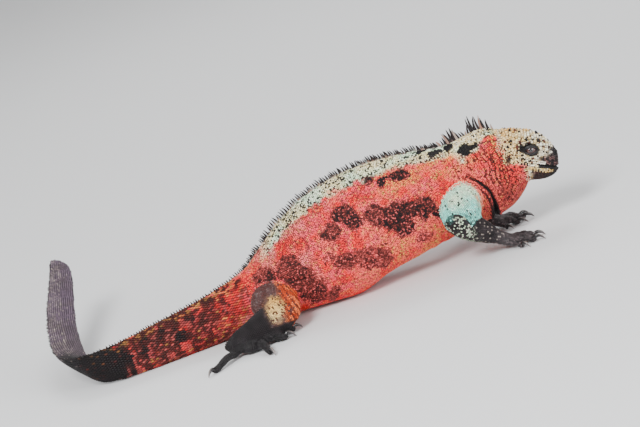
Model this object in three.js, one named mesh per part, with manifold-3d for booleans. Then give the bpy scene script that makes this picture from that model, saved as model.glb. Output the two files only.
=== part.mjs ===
// A marine iguana in its red and green breeding colours, life size, lying on its belly with the
// chest and head raised, the tail laid back along the floor and its end curled away and upwards.
// Millimetres. +X is towards the snout, +Y the animal's left, +Z up; the origin is on the floor
// under the middle of the belly. Every part of the body is its own solid, parted by thin gaps.
import * as THREE from "three";
import { mergeVertices } from "three/addons/utils/BufferGeometryUtils.js";
import Module from "manifold-3d";

const wasm = await Module();
wasm.setup();
const { Manifold } = wasm;

// Driving dimensions
const GAP = 0.35; // between two parts of the body that meet
const BACK_HEIGHT = 142.5; // top of the back over the floor
const BODY_HALF_WIDTH = 63; // at the widest ribs
const NECK_HALF_WIDTH = 33;
const TAIL_ROOT_HALF_WIDTH = 25;
const HEAD_LENGTH = 61.5; // from the ear to the snout
const HEAD_HALF_WIDTH = 28.5;
const HEAD_PITCH = 20; // degrees that the snout points down
const HEAD_ROLL = 6; // degrees that the crown tips to the left
const HEAD_AT = [236.5, 0, 96]; // the ear's level on the midline
const EYE_RADIUS = 8.2;
const ARM_RADIUS = 24;
const THIGH_RADIUS = 22.5;
const TOE_RADIUS = 4.7;
const CLAW_RADIUS = 2.3;
const BACK_SPINE = 8.5; // length of the crest's spines along the back
const NAPE_SPINE = 19; // and of the longest on the nape
const TAIL_SPINE = 4.2;
const SPINE_PITCH = 5.2;

const TRUNK_SIDES = 26;
const TAIL_SIDES = 12;
const LIMB_SIDES = 12;
const TOE_SIDES = 6;
const HEAD_ROWS = 7; // of corners above the mouth on each side, and four below it

const radians = THREE.MathUtils.degToRad;
const lerp = THREE.MathUtils.lerp;
const vec = (x, y, z) => new THREE.Vector3(x, y, z);

// A seeded draw between -1 and 1, so that every run grows the same spines.
let drawState = 20713;
function draw() {
  drawState = (drawState * 1103515245 + 12345) % 2147483648;
  return (drawState / 2147483648) * 2 - 1;
}

// Turns a three.js geometry into a manifold solid.
function solidFrom(geometry) {
  const bare = geometry.clone();
  bare.deleteAttribute("normal");
  bare.deleteAttribute("uv");
  const merged = mergeVertices(bare, 1e-4);
  return new Manifold(
    new wasm.Mesh({
      numProp: 3,
      vertProperties: new Float32Array(merged.attributes.position.array),
      triVerts: new Uint32Array(merged.index.array),
    }),
  );
}

// A closed skin over rings of points, each ring going round the same way, with a point at each end.
function skinRings(rings, first, last) {
  const sides = rings[0].length;
  const points = [...rings.flat(), first, last];
  const geometry = new THREE.BufferGeometry().setFromPoints(points);
  const index = [];
  const at = (ring, side) => ring * sides + (side % sides);
  for (let side = 0; side < sides; side++) {
    for (let ring = 0; ring + 1 < rings.length; ring++) {
      index.push(at(ring, side), at(ring, side + 1), at(ring + 1, side));
      index.push(at(ring, side + 1), at(ring + 1, side + 1), at(ring + 1, side));
    }
    index.push(points.length - 2, at(0, side + 1), at(0, side));
    index.push(points.length - 1, at(rings.length - 1, side), at(rings.length - 1, side + 1));
  }
  geometry.setIndex(index);
  const made = solidFrom(geometry);
  if (made.volume() > 0) return made;
  for (let i = 0; i < index.length; i += 3) {
    [index[i + 1], index[i + 2]] = [index[i + 2], index[i + 1]];
  }
  geometry.setIndex(index);
  return solidFrom(geometry);
}

// The smooth value between named stations, for each column of the table.
function smoothRow(table, t) {
  const last = table.length - 1;
  const i = Math.min(Math.floor(t), last - 1);
  const f = t - i;
  const row = (k) => table[Math.max(0, Math.min(last, k))];
  return row(i).map((_, column) => {
    const [a, b, c, d] = [row(i - 1), row(i), row(i + 1), row(i + 2)].map((r) => r[column]);
    return (
      b +
      0.5 * f * (c - a + f * (2 * a - 5 * b + 4 * c - d + f * (3 * (b - c) + d - a)))
    );
  });
}

const power = (value, n) => Math.sign(value) * Math.pow(Math.abs(value), 2 / n);

// A body table's row: centre x, y, z; height above and below it; half width; how square the upper
// and lower halves are (2 is an ellipse); lean of the section about the length, in degrees.
function sectionFrame(table, t) {
  const step = 0.02;
  const last = table.length - 1;
  const row = smoothRow(table, t);
  const ahead = smoothRow(table, Math.min(last, t + step));
  const behind = smoothRow(table, Math.max(0, t - step));
  const centre = vec(row[0], row[1], row[2]);
  const along = vec(ahead[0] - behind[0], ahead[1] - behind[1], ahead[2] - behind[2]).normalize();
  const up = vec(0, 0, 1).addScaledVector(along, -along.z).normalize();
  up.applyAxisAngle(along, radians(row[8]));
  return { row, centre, along, up, side: up.clone().cross(along) };
}

function sectionPoint(frame, angle, grow = 0) {
  const [, , , above, below, half, squareTop, squareLow] = frame.row;
  const c = Math.cos(angle);
  const s = Math.sin(angle);
  const n = c >= 0 ? squareTop : squareLow;
  return frame.centre
    .clone()
    .addScaledVector(frame.up, power(c, n) * ((c >= 0 ? above : below) + grow))
    .addScaledVector(frame.side, power(s, n) * (half + grow));
}

// A lofted length of a body table between two of its stations.
function loft(table, from, to, ringCount, sides, grow = 0) {
  const rings = [];
  let first, last;
  for (let k = 0; k <= ringCount; k++) {
    const frame = sectionFrame(table, lerp(from, to, k / ringCount));
    const ring = [];
    for (let side = 0; side < sides; side++) {
      ring.push(sectionPoint(frame, (side / sides) * 2 * Math.PI, grow));
    }
    rings.push(ring);
    if (k === 0) first = frame.centre.clone().addScaledVector(frame.along, -grow);
    if (k === ringCount) last = frame.centre.clone().addScaledVector(frame.along, grow);
  }
  return skinRings(rings, first, last);
}

// The largest closed surface of a solid, with any sealed hollow filled and any scrap dropped.
function largest(made) {
  return made.decompose().sort((a, b) => b.volume() - a.volume())[0];
}

function box(low, high) {
  const size = high.map((v, i) => v - low[i]);
  const geometry = new THREE.BoxGeometry(...size);
  geometry.translate(...low.map((v, i) => v + size[i] / 2));
  return solidFrom(geometry);
}

const underFloor = box([-600, -600, -80], [600, 600, 0]);
const restOnFloor = (made) => largest(made.subtract(underFloor));

// Trunk: from inside the head, over neck, ribs and hips, to the end of the tail.
const trunk = [
  // x, y, z, above, below, half width, squareness above and below, lean
  [252, 0, 96, 22, 28, 20, 2, 2, 2],
  [238, 0, 93, 35, 41, 27, 2, 2, 4],
  [221, 0, 89, 46.5, 50, 31, 1.9, 2, 4],
  [203, 0, 85, 49, 54, NECK_HALF_WIDTH, 1.8, 2, 3],
  [182, 0, 81, 50.5, 53, 40, 1.8, 2, 2],
  [158, 0, 78, 54.5, 52, 48, 1.8, 2.1, 1],
  [128, 0, 76, 63, 52.5, 55, 1.8, 2.2, 0],
  [92, 0, 73, 70, 55, 60, 1.8, 2.2, 0],
  [52, 0, 70, BACK_HEIGHT - 70, 59, BODY_HALF_WIDTH, 1.8, 2.2, 0],
  [12, 0, 65, 70.5, 66.5, 61, 1.8, 2.3, 0],
  [-26, 0, 58, 60.5, 60.4, 54, 1.8, 2.3, 0],
  [-58, 0, 49, 48.5, 51, 44, 1.8, 2.2, 0],
  [-88, -1, 40, 38.5, 41.4, 34, 1.9, 2.2, 0],
  [-120, -3, 34, 32.5, 35, TAIL_ROOT_HALF_WIDTH, 2, 2.2, 0],
  [-160, -6, 30, 28, 31, 19, 2, 2.2, 0],
  [-205, -10, 27, 25, 28, 15.5, 1.9, 2.1, 0],
  [-248, -15, 25, 22.5, 25, 12.5, 1.9, 2, -2],
  [-286, -18, 24.5, 21, 23.6, 10.5, 1.8, 2, -8],
  [-315, -6, 24, 20.5, 22.5, 9, 1.8, 2, -24],
  [-333, 26, 27, 20, 21, 8, 1.8, 1.9, -48],
  [-343, 70, 34, 19.5, 19.5, 7.2, 1.8, 1.9, -68],
  [-347, 125, 46.5, 18.5, 19, 6.4, 1.8, 1.9, -80],
  [-346, 180, 60, 18.5, 19, 5.6, 1.8, 1.9, -85],
  [-342, 238, 74, 17, 18, 4.8, 1.8, 1.9, -88],
  [-340, 278, 84.5, 14.5, 16, 3.9, 1.8, 1.9, -89],
  [-343, 302, 91, 9.5, 12, 3, 1.8, 1.9, -89],
  [-347, 316, 95, 4.5, 4, 1.8, 1.8, 1.9, -89],
];

// Where the trunk is parted, as stations of its table.
const PARTS_OF_TRUNK = [
  { name: "neck", from: 0, to: 4.35, rings: 7, sides: TRUNK_SIDES },
  { name: "torso", from: 4.35, to: 12.1, rings: 15, sides: TRUNK_SIDES },
  { name: "tail_base", from: 12.1, to: 13.8, rings: 4, sides: TRUNK_SIDES - 8 },
  { name: "tail_middle", from: 13.8, to: 15.4, rings: 4, sides: TAIL_SIDES },
  { name: "tail_rear", from: 15.4, to: 17, rings: 5, sides: TAIL_SIDES },
  { name: "tail_bend", from: 17, to: 18.1, rings: 4, sides: TAIL_SIDES },
  { name: "tail_turn", from: 18.1, to: 19.3, rings: 5, sides: TAIL_SIDES },
  { name: "tail_rise", from: 19.3, to: 21.6, rings: 5, sides: TAIL_SIDES },
  { name: "tail_tip", from: 21.6, to: 26, rings: 8, sides: TAIL_SIDES },
];

// The trunk's length from the neck to each station, for spacing the crest by real distance.
function stationAt(distances, wanted) {
  const i = distances.findIndex((d) => d.length >= wanted);
  return i < 0 ? trunk.length - 1 : distances[i].t;
}

const distances = [];
{
  const fine = 0.01;
  let length = 0;
  let before = sectionFrame(trunk, 0).centre;
  for (let t = 0; t <= trunk.length - 1; t += fine) {
    const here = sectionFrame(trunk, t).centre;
    length += here.distanceTo(before);
    distances.push({ t, length });
    before = here;
  }
}
const lengthAt = (t) => (distances.find((d) => d.t >= t) ?? distances.at(-1)).length;

// A flattened, tapered spine, curved a little towards its tip, with its root sunk in the back.
function spine(root, outward, along, length, lean) {
  const width = Math.min(1.75, 0.75 + length * 0.07); // half its size along the back
  const thick = Math.max(0.5, width * 0.52);
  const across = outward.clone().cross(along).normalize();
  const level = (height, back, scale) => {
    const centre = root
      .clone()
      .addScaledVector(outward, height)
      .addScaledVector(along, back);
    return [
      centre.clone().addScaledVector(along, width * scale),
      centre.clone().addScaledVector(across, thick * scale),
      centre.clone().addScaledVector(along, -width * scale),
      centre.clone().addScaledVector(across, -thick * scale),
    ];
  };
  const sunk = 2.6;
  const rings = [level(-sunk, -lean * 0.1, 1.15), level(length * 0.55, lean * 0.35, 0.72)];
  const tip = root.clone().addScaledVector(outward, length).addScaledVector(along, lean);
  const base = root.clone().addScaledVector(outward, -sunk);
  return skinRings(rings, base, tip);
}

// The front tuft on the nape leans forward and everything behind it a little backward.
const FRONT_TUFT_END = 2.75;
const crestLean = (t) => (t < FRONT_TUFT_END ? -0.26 : t < 4.4 ? 0.08 : 0.2);

// The crest's height along the trunk: two tufts on the nape, an even comb on the back, low on the tail.
function crestLength(t) {
  const table = [
    [0.9, 0], [1.1, 9], [1.55, 12.5], [1.95, 14], [2.2, NAPE_SPINE], [2.45, 12], [2.7, 6], [2.95, 6],
    [3.25, 12], [3.6, 15], [4, 12], [4.5, 7.5], [5.6, BACK_SPINE], [10.6, BACK_SPINE], [12.4, 5.5],
    [14, TAIL_SPINE], [18, 3.2], [24, 2.2], [25.2, 0],
  ];
  const k = table.findIndex((row) => row[0] > t);
  if (k <= 0) return 0;
  const [a, b] = [table[k - 1], table[k]];
  return lerp(a[1], b[1], (t - a[0]) / (b[0] - a[0]));
}

function crestOf(part) {
  const grown = [];
  const edge = 2.2; // no root lies on a cut between two parts
  const from = lengthAt(part.from) + edge;
  const to = lengthAt(part.to) - edge;
  const pitch = SPINE_PITCH * (part.from >= 17 ? 1.6 : part.from >= 12 ? 1.15 : 1);
  const count = Math.max(1, Math.round((to - from) / pitch));
  for (let k = 0; k <= count; k++) {
    const t = stationAt(distances, lerp(from, to, k / count));
    const frame = sectionFrame(trunk, t);
    const length = crestLength(t) * (1 + 0.16 * draw());
    if (length < 1.4) continue;
    const root = sectionPoint(frame, 0);
    const lean = length * (crestLean(t) + 0.1 * draw());
    grown.push(spine(root, frame.up, frame.along, length, lean));
  }
  return grown;
}

// Head: rings across a local frame with its origin at the ear, the snout along +X. Each ring has a
// corner exactly on the line of the mouth, drawn in between two lips.
const head = [
  // x, top, bottom, half width, squareness above and below
  [-17, 27, -16, 19, 2, 2],
  [-8, 29.2, -23, 25, 2.1, 2],
  [2, 29.6, -27.5, 28, 2.2, 2.1],
  [13, 29, -30, HEAD_HALF_WIDTH, 2.4, 2.1],
  [23, 28, -31, 27, 2.6, 2.1],
  [32, 26, -31, 24.5, 2.7, 2.1],
  [40, 22.6, -30, 22, 2.5, 2.2],
  [47, 18, -28.6, 19.6, 2.4, 2.3],
  [53, 12.5, -26.4, 17, 2.3, 2.4],
  [57.5, 7, -23.6, 14, 2.3, 2.4],
  [60.4, 2, -20.6, 10, 2.2, 2.3],
  [HEAD_LENGTH - 0.3, -4, -17.6, 5.6, 2.1, 2.2],
];
const MOUTH_CORNER = 25; // where the mouth ends, behind the eye
const LIP_OUT = 0.7;
const MOUTH_IN = 1.3;
const mouthHeight = (x) => -8.6 - 5.2 * THREE.MathUtils.smoothstep(x, MOUTH_CORNER - 8, HEAD_LENGTH);

function headRing(row, grow = 0) {
  const [x, top, bottom, half, squareTop, squareLow] = row;
  const middle = (top + bottom) / 2;
  const high = (top - bottom) / 2;
  const open = THREE.MathUtils.smoothstep(x, MOUTH_CORNER - 4, MOUTH_CORNER + 5);
  const line = mouthHeight(x);
  const turn = Math.acos(THREE.MathUtils.clamp((line - middle) / high, -0.96, 0.96));
  const low = 4;
  const leftSide = [];
  for (let k = 0; k <= HEAD_ROWS + low; k++) {
    const angle =
      k <= HEAD_ROWS
        ? (turn * k) / HEAD_ROWS
        : lerp(turn, Math.PI, (k - HEAD_ROWS) / low);
    const n = Math.cos(angle) >= 0 ? squareTop : squareLow;
    let y = power(Math.sin(angle), n) * (half + grow);
    let z = middle + Math.cos(angle) * (high + grow);
    if (k === HEAD_ROWS) y -= MOUTH_IN * open;
    if (k === HEAD_ROWS - 1) {
      y += LIP_OUT * open;
      z = lerp(z, line + 2.6, open);
    }
    if (k === HEAD_ROWS + 1) {
      y += LIP_OUT * 0.6 * open;
      z = lerp(z, line - 2.6, open);
    }
    leftSide.push(vec(x, Math.max(0, y), z));
  }
  const mirrored = leftSide
    .slice(1, -1)
    .reverse()
    .map((p) => vec(p.x, -p.y, p.z));
  return [...leftSide, ...mirrored];
}

function headShell(grow = 0) {
  const rings = [];
  const steps = 2;
  for (let k = 0; k <= (head.length - 1) * steps; k++) {
    rings.push(headRing(smoothRow(head, k / steps), grow));
  }
  const front = vec(HEAD_LENGTH + grow, 0, mouthHeight(HEAD_LENGTH));
  return skinRings(rings, vec(head[0][0] - 2 - grow, 0, 6), front);
}

// The point of the head's own surface at a length and height in its local frame, on one side.
function headSurface(x, z, side) {
  const t = head.findIndex((row) => row[0] > x);
  const k = t - 1 + (x - head[t - 1][0]) / (head[t][0] - head[t - 1][0]);
  const [, top, bottom, half, squareTop, squareLow] = smoothRow(head, k);
  const middle = (top + bottom) / 2;
  const share = THREE.MathUtils.clamp((z - middle) / ((top - bottom) / 2), -1, 1);
  const n = share >= 0 ? squareTop : squareLow;
  return vec(x, side * half * power(Math.sqrt(1 - share * share), n), z);
}

const EYE = { x: 25.5, z: 6.5 };
const eyeCentre = (side) => {
  const skin = headSurface(EYE.x, EYE.z, side);
  return skin.add(vec(0, -side * (EYE_RADIUS - 2.4), 0));
};

// A lid: a soft roll round the almond opening of the eye, lying on the eyeball.
function eyeLids(side) {
  const around = 14;
  const section = 5;
  const roll = 1.7;
  const centre = eyeCentre(side);
  const rings = [];
  for (let k = 0; k < around; k++) {
    const a = (k / around) * 2 * Math.PI;
    const out = vec(Math.cos(a) * 7.6, 0, Math.sin(a) * 4.3);
    const rise = Math.sqrt(Math.max(4, EYE_RADIUS ** 2 - out.x ** 2 - out.z ** 2));
    const spot = centre.clone().add(out).add(vec(0, side * (rise - 0.5), 0));
    const outward = out.clone().normalize();
    const ring = [];
    for (let j = 0; j < section; j++) {
      const b = (j / section) * 2 * Math.PI;
      ring.push(
        spot
          .clone()
          .addScaledVector(outward, Math.cos(b) * roll)
          .add(vec(0, side * Math.sin(b) * roll * 0.9, 0)),
      );
    }
    rings.push(ring);
  }
  return closedTube(rings);
}

// A ring-shaped tube over sections that come back to the first.
function closedTube(rings) {
  const sides = rings[0].length;
  const geometry = new THREE.BufferGeometry().setFromPoints(rings.flat());
  const index = [];
  const at = (ring, side) => (ring % rings.length) * sides + (side % sides);
  for (let ring = 0; ring < rings.length; ring++) {
    for (let side = 0; side < sides; side++) {
      index.push(at(ring, side), at(ring, side + 1), at(ring + 1, side));
      index.push(at(ring, side + 1), at(ring + 1, side + 1), at(ring + 1, side));
    }
  }
  geometry.setIndex(index);
  const made = solidFrom(geometry);
  if (made.volume() > 0) return made;
  for (let i = 0; i < index.length; i += 3) {
    [index[i + 1], index[i + 2]] = [index[i + 2], index[i + 1]];
  }
  geometry.setIndex(index);
  return solidFrom(geometry);
}

// A ball squeezed to three radii.
function ball(centre, radii, detail = 10) {
  const geometry = new THREE.SphereGeometry(1, detail, Math.round(detail * 0.6));
  geometry.scale(...radii);
  geometry.translate(centre.x, centre.y, centre.z);
  return solidFrom(geometry);
}

// A low pyramid of horn on the head, standing on a spot along its outward direction.
function tubercle(spot, outward, radius, height) {
  const aside = vec(1, 0.2, 0.3).cross(outward).normalize();
  const other = outward.clone().cross(aside);
  const corners = 4;
  const ring = [];
  for (let k = 0; k < corners; k++) {
    const a = (k / corners) * 2 * Math.PI;
    ring.push(
      spot
        .clone()
        .addScaledVector(outward, -1.1)
        .addScaledVector(aside, Math.cos(a) * radius)
        .addScaledVector(other, Math.sin(a) * radius),
    );
  }
  const base = spot.clone().addScaledVector(outward, -1.6);
  return skinRings([ring], base, spot.clone().addScaledVector(outward, height));
}

// Horny scales over crown, brow and cheek: in rows from the nape to the nose.
function headTubercles() {
  const grown = [];
  for (let x = -2; x < 52; x += 6.4) {
    const t = head.findIndex((row) => row[0] > x);
    const row = smoothRow(head, t - 1 + (x - head[t - 1][0]) / (head[t][0] - head[t - 1][0]));
    const [, top, bottom, half, squareTop] = row;
    const middle = (top + bottom) / 2;
    const high = (top - bottom) / 2;
    const across = x < 30 ? [0.2, 0.52, 0.84] : [0.28, 0.72];
    for (const angle of across) {
      for (const side of [-1, 1]) {
        const y = side * power(Math.sin(angle), squareTop) * half;
        const z = middle + Math.cos(angle) * high;
        const outward = vec(x > 36 ? 0.5 : 0.05, y / half, (z - middle) / high).normalize();
        const height = lerp(3.4, 2.3, Math.abs(x - 22) / 32) * (1 + 0.15 * draw());
        grown.push(tubercle(vec(x + 1.2 * draw(), y, z), outward, 2.5, height));
      }
    }
  }
  return grown;
}

function placeHead(made) {
  const matrix = new THREE.Matrix4()
    .makeTranslation(...HEAD_AT)
    .multiply(new THREE.Matrix4().makeRotationX(-radians(HEAD_ROLL)))
    .multiply(new THREE.Matrix4().makeRotationY(radians(HEAD_PITCH)));
  return made.transform(matrix.elements.slice());
}

function makeHead() {
  const nostrils = [-1, 1].map((side) => headSurface(56, 2.5, side));
  const ears = [-1, 1].map((side) => headSurface(1, -3, side));
  const rims = nostrils.map((spot) =>
    ball(spot.clone().add(vec(0.2, -spot.y * 0.08, 0.2)), [3.6, 2.4, 3.2], 8),
  );
  const rolls = [-1, 1].map(eyeLids);
  let made = Manifold.union([headShell(), ...rims, ...rolls, ...headTubercles()]);
  const cuts = [
    ...[-1, 1].map((side) => ball(eyeCentre(side), Array(3).fill(EYE_RADIUS + GAP), 14)),
    ...nostrils.map((spot) => ball(spot.clone().add(vec(1, spot.y * 0.16, 0.4)), [1.9, 2.4, 1.5], 8)),
    ...ears.map((spot) => ball(spot, [3.4, 2.2, 5.4], 8)),
  ];
  made = made.subtract(Manifold.union(cuts));
  return placeHead(largest(made));
}

// Limbs. A limb table's row: centre x, y, z; half height; the same below; half width; squareness.
const limbRow = (x, y, z, high, wide, square = 2) => [x, y, z, high, high, wide, square, square, 0];

// The right side's joints, as the photograph shows them; the left side lies a little further back.
const JOINTS = {
  right: {
    side: -1,
    shoulder: [172, -26, 72],
    elbow: [151, -75, 57],
    wrist: [186, -56, 22],
    palm: [204, -55, 9],
    hip: [-92, -18, 36],
    knee: [-72, -78, 27],
    ankle: [-146, -92, 14],
    sole: [-120, -98, 7],
  },
  left: {
    side: 1,
    shoulder: [176, 26, 74],
    elbow: [150, 75, 57],
    wrist: [188, 50, 22],
    palm: [206, 46, 9],
    hip: [-90, 14, 40],
    knee: [-70, 76, 30],
    ankle: [-146, 88, 14],
    sole: [-121, 95, 7],
  },
};

// Each toe: root from the sole, claw tip on the floor, height of its knuckle, girth.
const FINGERS = [
  { root: [-4, 8], tip: [11, 26], knuckle: 10, girth: 0.82 },
  { root: [2, 6], tip: [31, 19], knuckle: 12, girth: 0.92 },
  { root: [5, 1], tip: [41, 3], knuckle: 13, girth: 1 },
  { root: [3, -4], tip: [38, -15], knuckle: 12, girth: 0.98 },
  { root: [-1, -8], tip: [17, -27], knuckle: 10, girth: 0.88 },
];
const HIND_TOES = [
  { root: [4, 12], tip: [33, 44], knuckle: 10, girth: 0.85 },
  { root: [8, 7], tip: [59, 27], knuckle: 12, girth: 0.98 },
  { root: [9, 1], tip: [49, 0], knuckle: 13, girth: 1.08 },
  { root: [4, -6], tip: [20, -50], knuckle: 13, girth: 1.1 },
  { root: [-24, -6], tip: [-62, -42], knuckle: 10, girth: 0.98 },
];

const between = (a, b, share) => a.map((v, i) => lerp(v, b[i], share));

function upperArm(j, grow = 0) {
  const [a, b] = [j.shoulder, j.elbow];
  const out = between(a, b, 1.2);
  const table = [
    limbRow(...between(a, b, -0.1), 10, 10),
    limbRow(...between(a, b, 0.1), 21, 20),
    limbRow(...between(a, b, 0.4), ARM_RADIUS + 1, ARM_RADIUS - 2),
    limbRow(...between(a, b, 0.72), ARM_RADIUS + 0.5, ARM_RADIUS - 2),
    limbRow(...b, ARM_RADIUS - 5, ARM_RADIUS - 6),
    limbRow(...between(b, out, 0.75), 13, 13),
    limbRow(...between(b, out, 1.3), 2.5, 2.5),
  ];
  return loft(table, 0, 6, 9, LIMB_SIDES, grow);
}

function forearm(j, grow = 0) {
  const [a, b] = [j.elbow, j.wrist];
  const table = [
    limbRow(...between(a, b, -0.22), 9, 9),
    limbRow(...between(a, b, 0.05), 17, 17),
    limbRow(...between(a, b, 0.42), 16.5, 16),
    limbRow(...between(a, b, 0.78), 12.5, 12.5),
    limbRow(...between(a, b, 1.06), 9.5, 11.5),
    limbRow(...between(a, b, 1.24), 4, 6),
  ];
  return loft(table, 0, 5, 8, LIMB_SIDES, grow);
}

function palm(from, to, width, grow = 0) {
  const table = [
    limbRow(...between(from, to, -0.35), 4, 5),
    limbRow(...between(from, to, 0), 8.5, width * 0.72),
    limbRow(...between(from, to, 0.55), 8, width * 0.95, 2.3),
    limbRow(...between(from, to, 1), 7, width, 2.4),
    limbRow(...between(from, to, 1.5), 3.5, width * 0.6, 2.4),
  ];
  return loft(table, 0, 4, 7, LIMB_SIDES, grow);
}

// A jointed toe with its claw: knuckle raised, pad on the floor, the claw arching down to its point.
function toe(root, tip, knuckle, girth) {
  const reach = Math.hypot(tip[0] - root[0], tip[1] - root[1]);
  const claw = 12.5 * Math.min(1, reach / 30);
  const pad = 1 - claw / reach;
  const r = TOE_RADIUS * girth;
  const spot = (share, z) => [
    lerp(root[0], tip[0], share),
    lerp(root[1], tip[1], share),
    z,
  ];
  const flesh = [
    limbRow(...spot(-0.06, root[2] - 1), r * 1.05, r * 1.1),
    limbRow(...spot(pad * 0.3, (root[2] + knuckle) / 2), r * 1.05, r * 1.08),
    limbRow(...spot(pad * 0.55, knuckle - r * 0.55), r * 1.02, r * 1.1),
    limbRow(...spot(pad * 0.8, r * 1.05), r * 0.92, r * 0.95),
    limbRow(...spot(pad * 0.97, r * 0.92), r * 0.98, r * 0.95),
    limbRow(...spot(pad + 0.07, r * 0.95), r * 0.4, r * 0.4),
  ];
  const c = CLAW_RADIUS * girth;
  const horn = [
    limbRow(...spot(pad * 0.95, r * 1.15), c, c * 0.85),
    limbRow(...spot(lerp(pad, 1, 0.35), r * 1.55), c * 0.95, c * 0.72),
    limbRow(...spot(lerp(pad, 1, 0.72), r * 1.08), c * 0.66, c * 0.5),
    limbRow(...spot(0.99, 0.7), 0.35, 0.3),
  ];
  return [loft(flesh, 0, 5, 6, TOE_SIDES), loft(horn, 0, 3, 3, 4)];
}

function toesOf(j, sole, toes) {
  return toes.flatMap(({ root, tip, knuckle, girth }) => {
    const from = [sole[0] + root[0], sole[1] - j.side * root[1], sole[2]];
    const to = [sole[0] + tip[0], sole[1] - j.side * tip[1], 0];
    return toe(from, to, knuckle, girth);
  });
}

function thigh(j, grow = 0) {
  const [a, b] = [j.hip, j.knee];
  const table = [
    limbRow(...between(a, b, 0), 15, 17),
    limbRow(...between(a, b, 0.25), 23, 26),
    limbRow(...between(a, b, 0.6), THIGH_RADIUS - 1.5, THIGH_RADIUS + 3),
    limbRow(...between(a, b, 0.9), THIGH_RADIUS - 5, THIGH_RADIUS - 3),
    limbRow(...between(a, b, 1.12), 13, 14),
    limbRow(...between(a, b, 1.26), 3, 3),
  ];
  return loft(table, 0, 5, 9, LIMB_SIDES, grow);
}

function shank(j, grow = 0) {
  const [a, b] = [j.knee, j.ankle];
  const table = [
    limbRow(...between(a, b, -0.16), 8, 8),
    limbRow(...between(a, b, 0.06), 18.5, 18),
    limbRow(...between(a, b, 0.34), 19, 19),
    limbRow(...between(a, b, 0.66), 14.5, 14.5),
    limbRow(...between(a, b, 0.92), 11.5, 10.5),
    limbRow(...between(a, b, 1.1), 7, 7),
  ];
  return loft(table, 0, 5, 9, LIMB_SIDES, grow);
}

// Colours of the living animal
const finish = (color, roughness = 0.7) => new THREE.MeshStandardMaterial({ color, roughness, metalness: 0 });
const flesh = finish(0xc8453c);
const crown = finish(0xb9a878);
const sea = finish(0x8fc4b4);
const dark = finish(0x37322f);
const rust = finish(0x8a5a3c);
const slate = finish(0x6a6274);
const glossy = finish(0x1a1410, 0.15);

const iguana = new THREE.Group();

function add(name, made, material) {
  const mesh = made.getMesh();
  const stride = mesh.numProp;
  const places = new Float32Array(mesh.numVert * 3);
  for (let i = 0; i < mesh.numVert; i++) {
    places.set(mesh.vertProperties.subarray(i * stride, i * stride + 3), i * 3);
  }
  const geometry = new THREE.BufferGeometry();
  geometry.setAttribute("position", new THREE.BufferAttribute(places, 3));
  geometry.setIndex(new THREE.BufferAttribute(mesh.triVerts, 1));
  geometry.computeVertexNormals();
  const piece = new THREE.Mesh(geometry, material);
  piece.name = name;
  iguana.add(piece);
}

// Head and eyes
const headSolid = makeHead();
add("head", headSolid, crown);
for (const [name, side] of [["eye_right", -1], ["eye_left", 1]]) {
  add(name, placeHead(ball(eyeCentre(side), Array(3).fill(EYE_RADIUS), 14)), glossy);
}

// Trunk and tail, each length with its own stretch of the crest
const headRoom = placeHead(headShell(GAP));
const lastPart = PARTS_OF_TRUNK.length - 1;
PARTS_OF_TRUNK.forEach((part, k) => {
  const share = GAP / (lengthAt(part.to) - lengthAt(part.from));
  const inset = share * (part.to - part.from) * 0.5;
  const from = k === 0 ? part.from : part.from + inset;
  const to = k === lastPart ? part.to : part.to - inset;
  let made = Manifold.union([loft(trunk, from, to, part.rings, part.sides), ...crestOf(part)]);
  if (part.name === "neck") made = made.subtract(headRoom);
  add(part.name, restOnFloor(made), k > 6 ? slate : flesh);
});

// Room that the limbs leave for the trunk they grow from
const trunkRoom = loft(trunk, 2, 15, 30, TRUNK_SIDES, GAP);

for (const [name, j] of Object.entries(JOINTS)) {
  add(`upper_arm_${name}`, largest(upperArm(j).subtract(trunkRoom)), sea);
  const lower = forearm(j).subtract(upperArm(j, GAP)).subtract(trunkRoom);
  add(`forearm_${name}`, largest(lower), dark);
  const hand = Manifold.union([palm(j.wrist, j.palm, 14), ...toesOf(j, j.palm, FINGERS)]);
  add(`hand_${name}`, restOnFloor(hand.subtract(forearm(j, GAP))), dark);

  add(`thigh_${name}`, restOnFloor(thigh(j).subtract(trunkRoom)), rust);
  const calf = shank(j).subtract(thigh(j, GAP)).subtract(trunkRoom);
  add(`shank_${name}`, restOnFloor(calf), dark);
  const foot = Manifold.union([palm(j.ankle, j.sole, 15), ...toesOf(j, j.sole, HIND_TOES)]);
  add(`foot_${name}`, restOnFloor(foot.subtract(shank(j, GAP))), dark);
}

export default iguana;
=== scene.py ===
"""A marine iguana in its red and green breeding colours, resting on its belly, life size.

One skin is grown over the whole body, folded and set with scales, crest spines, claws, lids and
eyes, all from the same sections of the body, in millimetres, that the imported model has.
"""

import logging
import math
from dataclasses import dataclass, field
from enum import Enum

import bmesh
import bpy
import numpy as np
from mathutils import Matrix, Vector
from mathutils.bvhtree import BVHTree
from mathutils.kdtree import KDTree


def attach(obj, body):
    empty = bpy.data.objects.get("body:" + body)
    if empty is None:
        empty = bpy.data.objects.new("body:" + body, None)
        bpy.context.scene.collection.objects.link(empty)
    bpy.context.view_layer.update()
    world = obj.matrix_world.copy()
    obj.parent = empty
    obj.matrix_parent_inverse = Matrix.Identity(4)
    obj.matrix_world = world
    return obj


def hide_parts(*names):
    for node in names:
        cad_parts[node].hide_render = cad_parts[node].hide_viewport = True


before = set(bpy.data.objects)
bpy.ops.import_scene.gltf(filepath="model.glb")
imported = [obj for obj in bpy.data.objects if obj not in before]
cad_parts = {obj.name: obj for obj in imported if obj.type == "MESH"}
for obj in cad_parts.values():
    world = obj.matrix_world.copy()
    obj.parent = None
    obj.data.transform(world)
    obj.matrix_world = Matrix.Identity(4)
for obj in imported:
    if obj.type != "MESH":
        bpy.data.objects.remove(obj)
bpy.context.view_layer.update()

log = logging.getLogger("iguana")
MM = 0.001
PATCH_WIDTH = 0.003  # of one scale on its unwrap
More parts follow.
